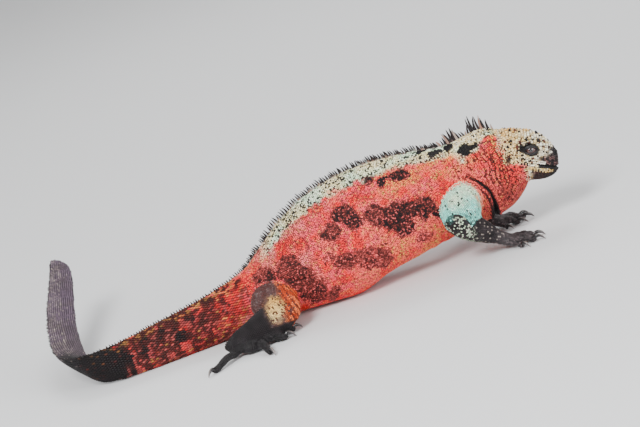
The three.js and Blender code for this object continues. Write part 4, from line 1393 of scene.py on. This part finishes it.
@dataclass
class Scales:
    """Chooses where scales grow on every part of the body."""

    body: Body
    atlas: Atlas
    surface: BVHTree
    markings: Markings
    skin: bpy.types.Object

    def settle(self, where: Sites, limit: float = 4.0) -> Sites:
        """Moves places onto the skin, and drops those that lie inside the body."""
        at = nearest(self.surface, where.at)[0]
        gap = np.linalg.norm(at - where.at, axis=1)
        where.at = at
        return where.pick((gap < limit) & (at[:, 2] > 0.5))

    def fill(self, where: Sites, region: list[Region], spacing: float) -> Sites:
        """Adds places where the rows left bare skin."""
        pool = self.atlas.look_up(corners_of(self.skin.data)[::2])
        pool = pool.pick(pool.within(*region) & (pool.at[:, 2] > 0.6))
        tree = tree_of(where.at)
        bare = np.array([tree.find(p)[2] > spacing * 0.8 for p in pool.at], bool)
        extra = pool.pick(bare)
        extra.size = np.full(len(extra.at), spacing)
        if not len(extra.at):
            return where
        return join_sites([where, thin_out(extra, 0.85)])

    def rows(self, index: int, start: float, end: float, spacing: float, **how: object) -> Sites:
        """Rows of scales over one length, settled on the skin."""
        tube = self.body.tubes[index]
        where = tube.lattice(start, end, spacing, **how)
        where.tube[:] = index
        if index == 0:
            where.region = self.atlas.trunk_region(where.along)
        return self.settle(where)

    def grain_of(self, where: Sites) -> Array:
        """The direction along each scale's own part, away from the head or the body."""
        grain = np.tile(np.array([-1.0, 0.0, 0.0]), (len(where.at), 1))
        for index in np.unique(where.tube):
            if index >= len(self.body.tubes):
                continue
            mask = where.tube == index
            tube = self.body.tubes[index]
            grain[mask] = tube.frames(tube.station(where.along[mask]))[1]
        head = where.tube >= len(self.body.tubes)
        grain[head] = np.array([-1.0, 0, 0]) @ HEAD_TURN.T
        return grain

    def grow(self, name: str, kind: Scale, where: Sites, height: float | Array, finish: "Finish",
             slot: str, stretch: float = 1.0, most: int = 8500) -> None:
        """Makes the scales of a stretch, in as many pieces as their number needs.

        Args:
            name: The piece's name.
            kind: The kind of scale.
            where: Their places.
            height: How tall they stand, in millimetres.
            finish: Their material.
            slot: A material slot's name, which is not used.
            stretch: Their length as a share of their width.
            most: Scales in one piece.
        """
        order = np.argsort(where.at[:, 0])
        heights = np.broadcast_to(np.asarray(height, float), (len(order),))
        shares = np.array_split(order, max(1, math.ceil(len(order) / most)))
        for k, share in enumerate(shares):
            part = where.pick(share)
            label = name if len(shares) == 1 else f"{name}_{k + 1}"
            coat = Coat(label, kind, part, heights[share], stretch, self.grain_of(part))
            piece = coat.build(self.surface, self.markings.colour(part), spread_unwrap(part))
            finish.dress(piece)
            place_piece(piece, slot)
            log.info("%s: %d scales", label, len(share))


def place_piece(piece: bpy.types.Object, slot: str, *nodes: str) -> None:
    """Gives a finished piece its body and hides the parts of the model that it stands for."""
    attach(piece, "root")
    if nodes:
        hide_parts(*nodes)


def set_inputs(tree: bpy.types.NodeTree, node: bpy.types.Node, inputs: dict[str | int, object]) -> None:
    """Sets the inputs of a node, or links them where the value is another node's output."""
    for label, value in inputs.items():
        if isinstance(value, bpy.types.NodeSocket):
            tree.links.new(value, node.inputs[label])
        else:
            node.inputs[label].default_value = value


def shader_node(tree: bpy.types.NodeTree, kind: str, inputs: dict[str | int, object] | None = None,
                **settings: object) -> bpy.types.Node:
    """A new node, with its settings made first and its inputs after them."""
    node = tree.nodes.new(f"ShaderNode{kind}")
    for label, value in settings.items():
        setattr(node, label, value)
    set_inputs(tree, node, inputs or {})
    return node


def mottle_group() -> bpy.types.NodeTree:
    """Uneven colour and fine relief, shared by every finish of the animal.

    Returns:
        A shader group with Colour, Grain and Depth going in, and Colour, Rough and Height out.
    """
    known = bpy.data.node_groups.get("hide mottle")
    if known:
        return known
    tree = bpy.data.node_groups.new("hide mottle", "ShaderNodeTree")
    for way, labels in (("INPUT", ("Colour", "Grain", "Depth")), ("OUTPUT", ("Colour", "Rough", "Height"))):
        for label in labels:
            kind = "NodeSocketColor" if label == "Colour" else "NodeSocketFloat"
            tree.interface.new_socket(label, in_out=way, socket_type=kind)
    into, out = tree.nodes.new("NodeGroupInput"), tree.nodes.new("NodeGroupOutput")
    place, grain = shader_node(tree, "TexCoord").outputs["Object"], into.outputs["Grain"]
    fine = shader_node(tree, "TexNoise", {"Vector": place, "Scale": grain, "Detail": 5, "Roughness": 0.65})
    pores = shader_node(tree, "TexVoronoi", {"Vector": place, "Scale": grain})
    broad = shader_node(tree, "TexNoise", {"Vector": place, "Scale": 60, "Detail": 3})
    darkest = shader_node(tree, "Math", {0: 1.0, 1: into.outputs["Depth"]}, operation="SUBTRACT")
    spread = shader_node(tree, "MapRange", {
        "Value": fine.outputs["Fac"], "From Min": 0.3, "From Max": 0.7,
        "To Min": darkest.outputs[0], "To Max": 1.25,
    })
    shade = shader_node(tree, "Mix", {
        "Factor": 1.0, "A": into.outputs["Colour"], "B": spread.outputs["Result"],
    }, data_type="RGBA", blend_type="MULTIPLY")
    rough = shader_node(tree, "MapRange", {"Value": broad.outputs["Fac"], "To Min": -0.1, "To Max": 0.12})
    height = shader_node(tree, "Math", {0: fine.outputs["Fac"], 1: pores.outputs["Distance"]}, operation="ADD")
    set_inputs(tree, out, {
        "Colour": shade.outputs["Result"], "Rough": rough.outputs["Result"], "Height": height.outputs[0],
    })
    return tree


@dataclass(frozen=True)
class Finish:
    """A surface of the animal, over the colours painted on its mesh."""

    name: str
    roughness: float
    grain: float  # lumps to a metre
    depth: float  # how much darker the darkest grain is
    relief: float
    gloss: float
    coat: float = 0.0

    def material(self) -> bpy.types.Material:
        """The finish as a material, made once."""
        known = bpy.data.materials.get(self.name)
        if known:
            return known
        made = bpy.data.materials.new(self.name)
        made.use_nodes = True
        tree = made.node_tree
        painted = shader_node(tree, "Attribute", attribute_name="hide")
        mottle = shader_node(tree, "Group", {
            "Colour": painted.outputs["Color"], "Grain": self.grain, "Depth": self.depth,
        }, node_tree=mottle_group())
        rough = shader_node(tree, "Math", {0: mottle.outputs["Rough"], 1: self.roughness}, operation="ADD")
        bump = shader_node(tree, "Bump", {
            "Strength": self.relief, "Distance": 0.0004, "Height": mottle.outputs["Height"],
        })
        set_inputs(tree, tree.nodes["Principled BSDF"], {
            "Base Color": mottle.outputs["Colour"], "Roughness": rough.outputs[0], "Normal": bump.outputs["Normal"],
            "Specular IOR Level": self.gloss, "Coat Weight": self.coat, "Coat Roughness": 0.03,
        })
        return made

    def dress(self, piece: bpy.types.Object) -> None:
        """Puts the finish on a piece."""
        piece.data.materials.clear()
        piece.data.materials.append(self.material())


# For each its roughness, grain, depth, relief and gloss, and for the eye its clear coat
SKIN = Finish("bare skin", 0.72, 1400, 0.35, 0.35, 0.35)
SCALE = Finish("body scales", 0.58, 1100, 0.28, 0.2, 0.3)
DARK_SCALE = Finish("hand and foot scales", 0.36, 1300, 0.35, 0.25, 0.4)
HORN = Finish("head horn", 0.52, 1000, 0.32, 0.3, 0.35)
SPINE = Finish("crest horn", 0.55, 700, 0.35, 0.3, 0.3)
CLAW = Finish("claw horn", 0.25, 500, 0.35, 0.2, 0.55)
EYE = Finish("wet eye", 0.1, 1500, 0.2, 0.0, 0.5, 1.0)


@dataclass
class Crest:
    """The comb of spines from the nape to the end of the tail."""

    trunk: Tube
    surface: BVHTree
    pitch: float = 2.75  # between spines, in millimetres
    lengths: tuple = (  # stations, and the length of a spine at each
        (0.9, 0), (1.1, 9), (1.55, 14.5), (1.95, 17), (2.2, 22), (2.45, 15), (2.7, 7), (2.95, 7), (3.25, 13.5),
        (3.6, 19), (4, 14.5), (4.5, 7.8), (5.6, 8.8), (10.6, 8.8), (12.4, 5.5), (14, 4.4), (18, 3.4),
        (24, 2.2), (25.4, 1.2),
    )
    front_tuft_end: float = 2.75

    def spines(self) -> tuple[Array, Array, Array, Array]:
        """Stations, lengths, leans and side shifts of every spine."""
        rng = np.random.default_rng(11)
        at = self.trunk.lengths[np.searchsorted(self.trunk.fine, self.lengths[0][0])]
        runs, last = [], self.trunk.lengths[-1] - 8
        while at < last:
            t = float(self.trunk.station(at))
            runs.append(at)
            apart = 1.2 if t < 4.4 else 0.95 if t < 12.5 else 1.25
            at += self.pitch * apart * (1 + 0.2 * rng.uniform(-1, 1))
        t = self.trunk.station(np.array(runs))
        keys, values = np.array(self.lengths).T
        length = np.interp(t, keys, values) * (1 + 0.17 * rng.uniform(-1, 1, len(t)))
        missing = (rng.random(len(t)) < 0.06) & (t > 4.5)
        length[missing] *= 0.5
        lean = np.where(t < self.front_tuft_end, -0.26, np.where(t < 4.4, 0.08, 0.24))
        lean = length * (lean + 0.15 * rng.uniform(-1, 1, len(t)))
        return t, length, lean, rng.uniform(-0.35, 0.35, len(t))

    def build(self) -> None:
        """Makes the comb as one piece, each spine a curved blade."""
        t, length, lean, sway = self.spines()
        keep = length > 0.9
        t, length, lean, sway = t[keep], length[keep], lean[keep], sway[keep]
        _, along, up, side = self.trunk.frames(t)
        roots = nearest(self.surface, self.trunk.points(t, np.zeros(len(t))))[0]
        sides = 8
        turn = np.arange(sides) / sides * 2 * math.pi
        levels = [(-0.22, 1.12), (0.0, 1.0), (0.25, 0.9), (0.5, 0.74), (0.75, 0.5), (0.93, 0.22)]
        rng = np.random.default_rng(5)
        half = np.minimum(1.9, 0.84 + length * 0.066) * (1 + 0.12 * rng.uniform(-1, 1, len(t)))
        corners = []
        for share, width in levels:
            reach = np.maximum(share * length, -1.6)
            centre = roots + up * reach[:, None] + along * (lean * max(share, 0) ** 2)[:, None]
            centre += side * (sway * length * 0.22 * max(share, 0) ** 2)[:, None]
            thick, thin = (half * width)[:, None], (half * width * 0.55)[:, None]
            ring = centre[:, None, :] + along[:, None, :] * (np.cos(turn)[None, :] * thick)[..., None]
            corners.append(ring + side[:, None, :] * (np.sin(turn)[None, :] * thin)[..., None])
        tip = roots + up * length[:, None] + along * lean[:, None] + side * (sway * length * 0.22)[:, None]
        corners = np.concatenate([np.stack(corners, 1).reshape(len(t), -1, 3), tip[:, None, :]], 1)
        faces, per = pointed_rings(len(levels), sides), corners.shape[1]
        piece = copied_mesh("crest", corners.reshape(-1, 3), faces, len(t))
        paint(piece.data, self.colours(t, per, len(levels), sides).reshape(-1, 3))
        unwrap = np.stack([np.full(len(t), 0.5), 0.02 + 0.96 * t / 26], 1)
        shape = np.zeros((per, 3))
        shape[:, 0] = np.linspace(-0.6, 0.6, per)
        shape[:, 1] = np.tile(np.linspace(-0.6, 0.6, sides), per // sides + 1)[:per]
        unwrap_roots(piece.data, faces, shape, unwrap)
        SPINE.dress(piece)
        place_piece(piece, "torso")
        log.info("crest: %d spines", len(t))

    def colours(self, t: Array, per: int, rings: int, sides: int) -> Array:
        """Pale and rusty bases, dark tips, and black tufts on the nape."""
        rng = np.random.default_rng(8)
        rise = np.append(np.repeat(np.linspace(0, 0.95, rings), sides), 1.0)[:per]
        count = len(t)
        pale = blend("bone", "rust", rng.random(count) * 0.6)
        pale = blend(pale, "sea", (t > 5) * (t < 12.4) * rng.random(count) * 0.35)
        dark = blend("umber", "black", 0.55 + 0.45 * rng.random(count)) * 0.85
        tail = smoothstep(12.4, 14, t)
        pale = blend(pale, "rust", tail * 0.8)
        pale = blend(pale, "black", smoothstep(16.5, 17.6, t) * 0.9)
        nape = fade(4.2, 5.2, t)
        start = np.where(nape > 0.5, -0.1, 0.16) + rng.uniform(-0.14, 0.16, count)
        wholly_pale = (nape > 0.5) & (rng.random(count) < 0.28)
        change = smoothstep(0, 1, (rise[None, :] - start[:, None]) / 0.3)
        change = np.where(wholly_pale[:, None], change * 0.25, change)
        return pale[:, None, :] + (dark - pale)[:, None, :] * change[..., None]


@dataclass
class Claws:
    """The curved claws of one hand or foot."""

    name: str
    sections: list[Array]
    slot: str

    def build(self) -> None:
        """Makes the claws as one piece."""
        shells, tone = [], []
        for rows in self.sections:
            tube = Tube(rows, Region.TOE, 14, 0.8)
            shells.append(tube.shell(0.0))
            rings = len(shells[-1][0]) // tube.sides
            share = np.repeat(np.linspace(0, 1, rings), tube.sides)
            around = np.tile(np.cos(np.arange(tube.sides) / tube.sides * 2 * math.pi), rings)
            hue = blend("black", "charcoal", smoothstep(0.2, 0.9, share))
            # a pale streak along the top of each claw: paler horn with a painted highlight on it
            tone.append(blend(hue, "bone", smoothstep(0.55, 1.0, around) * smoothstep(0.15, 0.5, share) * 0.55))
        piece = new_object(self.name, *join_shells(shells))
        face_outwards()
        bpy.ops.object.shade_smooth()
        paint(piece.data, np.concatenate(tone))
        CLAW.dress(piece)
        place_piece(piece, self.slot)


@dataclass
class Eye:
    """One eye: the ball with its iris, and the lids round it."""

    body: Body
    side: str
    radius: float = 8.0
    pupil: float = 2.3
    iris: float = 5.2
    opening: tuple = (6.9, 2.5, 2.4)  # half its length, and its height above and below the middle
    rim: tuple = (10.4, 7.0)  # half the length and half the height of the lids
    dome: float = 10.6  # radius of the lids' roll
    tilt: float = 12.0  # of the opening, in degrees

    @property
    def sign(self) -> int:
        """Which way is outwards."""
        return -1 if self.side == "right" else 1

    def to_body(self, local: Array) -> Array:
        """Places about the eyeball's middle, in the body's frame."""
        flip = local * np.array([1, self.sign, 1])
        return from_head(flip + self.body.eye_centre(self.sign))

    def build_ball(self) -> None:
        """The eyeball, with a clear bulge over the iris."""
        deselect()
        bpy.ops.mesh.primitive_uv_sphere_add(segments=72, ring_count=48, radius=1.0)
        ball = bpy.context.object
        ball.name = ball.data.name = f"eyeball_{self.side}"
        unit_ball = corners_of(ball.data) * MM
        local = unit_ball[:, [0, 2, 1]] * self.radius
        off_axis = np.hypot(local[:, 0], local[:, 2])
        facing = local[:, 1] > 0
        local[:, 1] += facing * 0.55 * fade(3.4, 6.0, off_axis)
        set_corners(ball.data, self.to_body(local))
        face_outwards()
        bpy.ops.object.shade_smooth()
        angle = np.arctan2(local[:, 2], local[:, 0])
        rays = 0.5 + 0.5 * np.sin(angle * 23 + np.sin(angle * 7) * 2)
        tone = blend("umber", "rust", rays * 0.12)
        tone = blend(tone, "black", fade(self.pupil - 0.25, self.pupil + 0.15, off_axis))
        tone = blend(tone, "black", smoothstep(self.iris - 0.6, self.iris, off_axis) * 0.9)
        paint(ball.data, tone)
        EYE.dress(ball)
        place_piece(ball, "eye", f"eye_{self.side}")

    def build_lids(self) -> None:
        """Upper and lower lid as one soft roll about an almond opening."""
        around, turn = 72, np.arange(72) / 72 * 2 * math.pi
        tilt, (half, above, below) = math.radians(self.tilt), self.opening
        almond_x = np.cos(turn) * half
        almond_z = np.where(np.sin(turn) > 0, above, below) * np.sign(np.sin(turn)) * np.abs(np.sin(turn)) ** 1.35
        inner = np.stack([almond_x * math.cos(tilt) - almond_z * math.sin(tilt),
                          almond_x * math.sin(tilt) + almond_z * math.cos(tilt)], 1)
        outer = np.stack([np.cos(turn) * self.rim[0], np.sin(turn) * self.rim[1]], 1)
        rings = []
        profile = [(-0.1, -1.2), (-0.05, 0.1), (0.0, 0.75), (0.08, 1.15), (0.2, 1.3), (0.34, 1.0), (0.4, 1.25),
                   (0.52, 1.5), (0.66, 1.2), (0.72, 1.45), (0.84, 1.1), (1.0, -0.2)]
        for share, rise in profile:
            flat = inner + (outer - inner) * share
            reach = np.minimum(np.hypot(flat[:, 0], flat[:, 1]), self.rim[0])
            ball = np.sqrt(np.maximum(EYE_RADIUS**2 - np.minimum(reach, self.radius) ** 2, 0))
            dome = np.sqrt(np.maximum(self.dome**2 - reach**2, 0)) - 2.4
            y = (ball if share < 0.3 else np.maximum(dome, 0)) + rise
            rings.append(np.stack([flat[:, 0], y, flat[:, 1]], 1))
        rings.append(rings[-1] * np.array([0.96, 1, 0.96]) - np.array([0, 3.0, 0]))
        rings.append(np.stack([inner[:, 0] * 1.15, np.full(around, 2.0), inner[:, 1] * 1.15], 1))
        count = len(rings)
        corners = self.to_body(np.concatenate(rings))
        faces = [(r * around + k, r * around + (k + 1) % around,
                  (r + 1) % count * around + (k + 1) % around, (r + 1) % count * around + k)
                 for r in range(count) for k in range(around)]
        lids = new_object(f"lids_{self.side}", corners, faces)
        face_outwards()
        bpy.ops.object.shade_smooth()
        rim = np.repeat(np.array([0.2 > s for s, _ in profile] + [False, False]), around)
        tone = tint("black", len(corners)) * 0.75
        tone = blend(tone, "plum", rim * 0.28)
        tone = blend(tone, "grey", (noise(corners, 1.1, 40) > 0.74) * 0.3)
        paint(lids.data, tone)
        HORN.dress(lids)
        place_piece(lids, "head")

    def build(self) -> None:
        """Makes ball and lids."""
        self.build_ball()
        self.build_lids()


@dataclass
class Studio:
    """A plain pale floor that curves up behind, soft lights and the camera."""

    distance: float = 3.2
    lens: float = 150.0
    elevation: float = 15.0
    roll: float = 20.0
    target: tuple = (2.96, 102.9)  # to the right of and above the origin in the picture, in millimetres

    def build(self) -> None:
        """Sets everything round the animal."""
        self.floor()
        self.camera()
        self.light("key", (-1.0, -2.3, 2.2), 1.2, 125)
        self.light("fill", (2.0, -2.3, 0.9), 1.7, 55)
        self.light("back", (0.4, 2.2, 2.4), 1.6, 40)
        world = bpy.data.worlds.new("soft room")
        bpy.context.scene.world = world
        world.use_nodes = True
        sky = world.node_tree.nodes["Background"]
        set_inputs(world.node_tree, sky, {"Color": (1.0, 0.99, 0.98, 1), "Strength": 0.7})

    def floor(self) -> None:
        """A sheet that runs under the animal and up behind it."""
        deselect()
        bpy.ops.mesh.primitive_grid_add(x_subdivisions=8, y_subdivisions=48, size=1.0)
        sheet = bpy.context.object
        sheet.name = "floor"
        flat = corners_of(sheet.data) * MM
        run = (flat[:, 1] + 0.5) * 24
        bend, radius = 11.0, 3.0
        turn = np.clip((run - bend) / radius, 0, math.pi / 2)
        y = np.minimum(run, bend) + np.sin(turn) * radius
        z = (1 - np.cos(turn)) * radius + np.maximum(run - bend - radius * math.pi / 2, 0)
        place = np.stack([flat[:, 0] * 30, y - 6, z], 1)
        set_corners(sheet.data, place / MM)
        bpy.ops.object.shade_smooth()
        paper = bpy.data.materials.new("pale floor")
        paper.use_nodes = True
        shader = paper.node_tree.nodes["Principled BSDF"]
        set_inputs(paper.node_tree, shader, {"Base Color": (0.78, 0.79, 0.8, 1), "Roughness": 0.85})
        sheet.data.materials.append(paper)

    def camera(self) -> None:
        """Looks from the photograph's side, turned with the slope that the animal lies on."""
        e, r = math.radians(self.elevation), math.radians(self.roll)
        forward = Vector((0, math.cos(e), -math.sin(e)))
        right, up = Vector((1, 0, 0)), Vector((0, math.sin(e), math.cos(e)))
        place = -forward * self.distance
        middle = (right * self.target[0] + up * self.target[1]) * MM
        away = -(middle - place).normalized()
        across = right * math.cos(r) - up * math.sin(r)
        across = (across - away * across.dot(away)).normalized()
        camera = bpy.data.cameras.new("camera")
        camera.lens, camera.sensor_width = self.lens, 36
        camera.clip_start, camera.clip_end = 0.1, 60
        holder = add_object("camera", camera)
        turn = Matrix((across, away.cross(across), away)).transposed()
        holder.matrix_world = Matrix.Translation(place) @ turn.to_4x4()
        bpy.context.scene.camera = holder

    def light(self, name: str, at: tuple[float, float, float], size: float, power: float) -> None:
        """A large soft lamp that faces the animal."""
        data = bpy.data.lights.new(name, "AREA")
        data.shape, data.size, data.energy = "DISK", size, power
        lamp = add_object(name, data)
        lamp.location = at
        lamp.rotation_mode = "QUATERNION"
        lamp.rotation_quaternion = (Vector(at) - Vector((0, 0, 0.08))).to_track_quat("Z", "Y")


FLESH = [
    "head", "neck", "torso", "tail_base", "tail_middle", "tail_rear", "tail_bend", "tail_turn", "tail_rise",
    "tail_tip",
] + [f"{part}_{side}" for part in ("upper_arm", "forearm", "hand", "thigh", "shank", "foot")
     for side in ("right", "left")]


def cover(body: Body, scales: Scales) -> None:
    """Grows the scales of every part.

    Args:
        body: The lengths of flesh.
        scales: What sets the scales.
    """
    ends = [body.trunk.length_at(t) for t in (0.2, NECK_END, TORSO_END, RED_TAIL_END, TAIL_TIP)]
    neck = scales.rows(0, ends[0], ends[1], FLANK_SCALE, staggered=True)
    torso = scales.rows(0, ends[1], ends[2], FLANK_SCALE, staggered=True)
    flank = scales.fill(join_sites([neck, torso]), [Region.NECK, Region.TORSO], FLANK_SCALE)
    flank = thin_out(flank, 0.6)
    rng = np.random.default_rng(2)
    flank.size = flank.size * (1 + 0.14 * rng.uniform(-1, 1, len(flank.at)))
    flank.at = flank.at + rng.uniform(-0.45, 0.45, flank.at.shape)
    rise = 0.8 + 0.3 * rng.random(len(flank.at)) + flank.within(Region.NECK) * 0.15
    scales.grow("scales_flank", Scale.GRANULE, flank, rise, SCALE, "torso", 1.08)

    tail = scales.rows(0, ends[2], ends[3], TAIL_SCALE, staggered=True, pull=1.05)
    tail = thin_out(scales.fill(tail, [Region.TAIL], 3.0), 0.6)
    scales.grow("scales_tail", Scale.KEELED, tail, 1.25, SCALE, "tail", 1.25)
    end = scales.rows(0, ends[3], ends[4], TAIL_END_SCALE, staggered=False, pull=1.15)
    end = thin_out(scales.fill(end, [Region.TAIL_END], TAIL_END_SCALE), 0.6)
    scales.grow("scales_tail_end", Scale.KEELED, end, 1.1, SCALE, "tail_end", 1.3)

    limbs, feet = [], []
    for index, tube in enumerate(body.tubes[1:], 1):
        if tube.region in (Region.FINGER, Region.TOE):
            feet.append(scales.rows(index, 1.0, tube.lengths[-1] - 0.6, 1.9, staggered=True))
        elif tube.region in (Region.HAND, Region.FOOT):
            feet.append(scales.rows(index, 1.0, tube.lengths[-1] - 1, 2.1, staggered=True))
        else:
            limbs.append(scales.rows(index, 1.0, tube.lengths[-1] - 9, LIMB_SCALE, staggered=True))
    regions = [Region.UPPER_ARM, Region.FOREARM, Region.THIGH, Region.SHANK]
    limb = scales.fill(join_sites(limbs), regions, LIMB_SCALE)
    scales.grow("scales_limbs", Scale.GRANULE, thin_out(limb, 0.62), 0.95, SCALE, "upper_arm", 1.1)
    foot = scales.fill(join_sites(feet), [Region.HAND, Region.FINGER, Region.FOOT, Region.TOE], 2.0)
    scales.grow("scales_feet", Scale.GRANULE, thin_out(foot, 0.62), 0.7, DARK_SCALE, "hand", 1.15)


def cover_head(body: Body, scales: Scales) -> None:
    """Grows the horny scales of the head and the plates along its lips."""
    rng = np.random.default_rng(4)
    large = scales.settle(scales.atlas.head_sites(CROWN_SCALE))
    local = to_head(large.at)
    eye = np.hypot((local[:, 0] - EYE_X) / 11.0, (local[:, 2] - EYE_Z) / 7.4)
    crown = (local[:, 2] > 10 - np.maximum(0, local[:, 0] - 34) * 0.5) & (local[:, 0] > -6) & (eye > 1.02)
    clear = np.hypot(local[:, 0] - NOSTRIL_X - 0.5, local[:, 2] - NOSTRIL_Z) > 3.6
    large = large.pick(crown & clear)
    large.at += rng.uniform(-0.5, 0.5, large.at.shape)
    large.size = large.size * (1.0 + 0.18 * rng.uniform(-1, 1, len(large.at)))
    local = to_head(large.at)
    height = 2.2 + 0.9 * bell(local[:, 0] - 22, 18) + rng.uniform(-0.3, 0.4, len(large.at))
    height = height * (1 - 0.35 * smoothstep(40, 56, local[:, 0]))
    scales.grow("horns_crown", Scale.CONE, large, height, HORN, "head", 1.0)

    small = scales.settle(scales.atlas.head_sites(FACE_SCALE))
    local = to_head(small.at)
    gap = np.abs(local[:, 2] - mouth_line(local[:, 0]))
    mouth = (gap < np.where(local[:, 0] > 35, 1.5, 0.75)) & (local[:, 0] > 22)
    eye = np.hypot((local[:, 0] - EYE_X) / 8.8, (local[:, 2] - EYE_Z) / 5.7)
    hole = np.hypot(local[:, 0] - NOSTRIL_X, local[:, 2] - NOSTRIL_Z) < 1.6
    small = small.pick(~mouth & (eye > 1.0) & ~hole)
    scales.grow("scales_face", Scale.GRANULE, small, 1.0, HORN, "head", 1.0)
    lips = lip_sites(body, scales)
    scales.grow("scales_lips", Scale.PLATE, lips, 1.0, HORN, "head", 1.15)


def lip_sites(body: Body, scales: Scales) -> Sites:
    """Places of the plates above and below the mouth."""
    spots = []
    for sign in (-1, 1):
        for offset in (2.0, -2.2):
            x = np.arange(27.0, 43.0 if offset > 0 else 58.0, 2.2)
            z = mouth_line(x) + offset
            spots.append(from_head(body.head_surface(x, z, sign)))
    at = np.concatenate(spots)
    return scales.settle(Sites.row(at, Region.HEAD, np.arange(len(at)), 0.0, len(body.tubes), LIP_SCALE))


def main() -> None:
    """Builds the animal and the studio."""
    logging.basicConfig(level=logging.INFO, format="%(message)s")
    Studio().build()
    body = Body()
    skin = body.make_skin()
    body.refine_head(skin)
    log.info("skin: %d corners", len(skin.data.vertices))
    atlas = Atlas(body, BVHTree.FromObject(skin, bpy.context.evaluated_depsgraph_get()))
    Sculptor(body, skin).work(atlas.look_up(corners_of(skin.data)))
    make_active(skin)
    bpy.ops.object.shade_smooth()
    where = atlas.look_up(corners_of(skin.data))
    markings = Markings()
    # the bare skin is painted darker than the scales, as shade in the gaps between them
    paint(skin.data, markings.colour(where) * SKIN_SHADE)
    SKIN.dress(skin)
    place_piece(skin, "torso", *FLESH)
    surface = BVHTree.FromObject(skin, bpy.context.evaluated_depsgraph_get())
    scales = Scales(body, atlas, surface, markings, skin)
    cover(body, scales)
    cover_head(body, scales)
    Crest(body.trunk, surface).build()
    for name, sections in body.claws.items():
        Claws(f"claws_{name}", sections, name.split("_")[0]).build()
    for side in ("right", "left"):
        Eye(body, side).build()


if __name__ == "__main__":
    main()
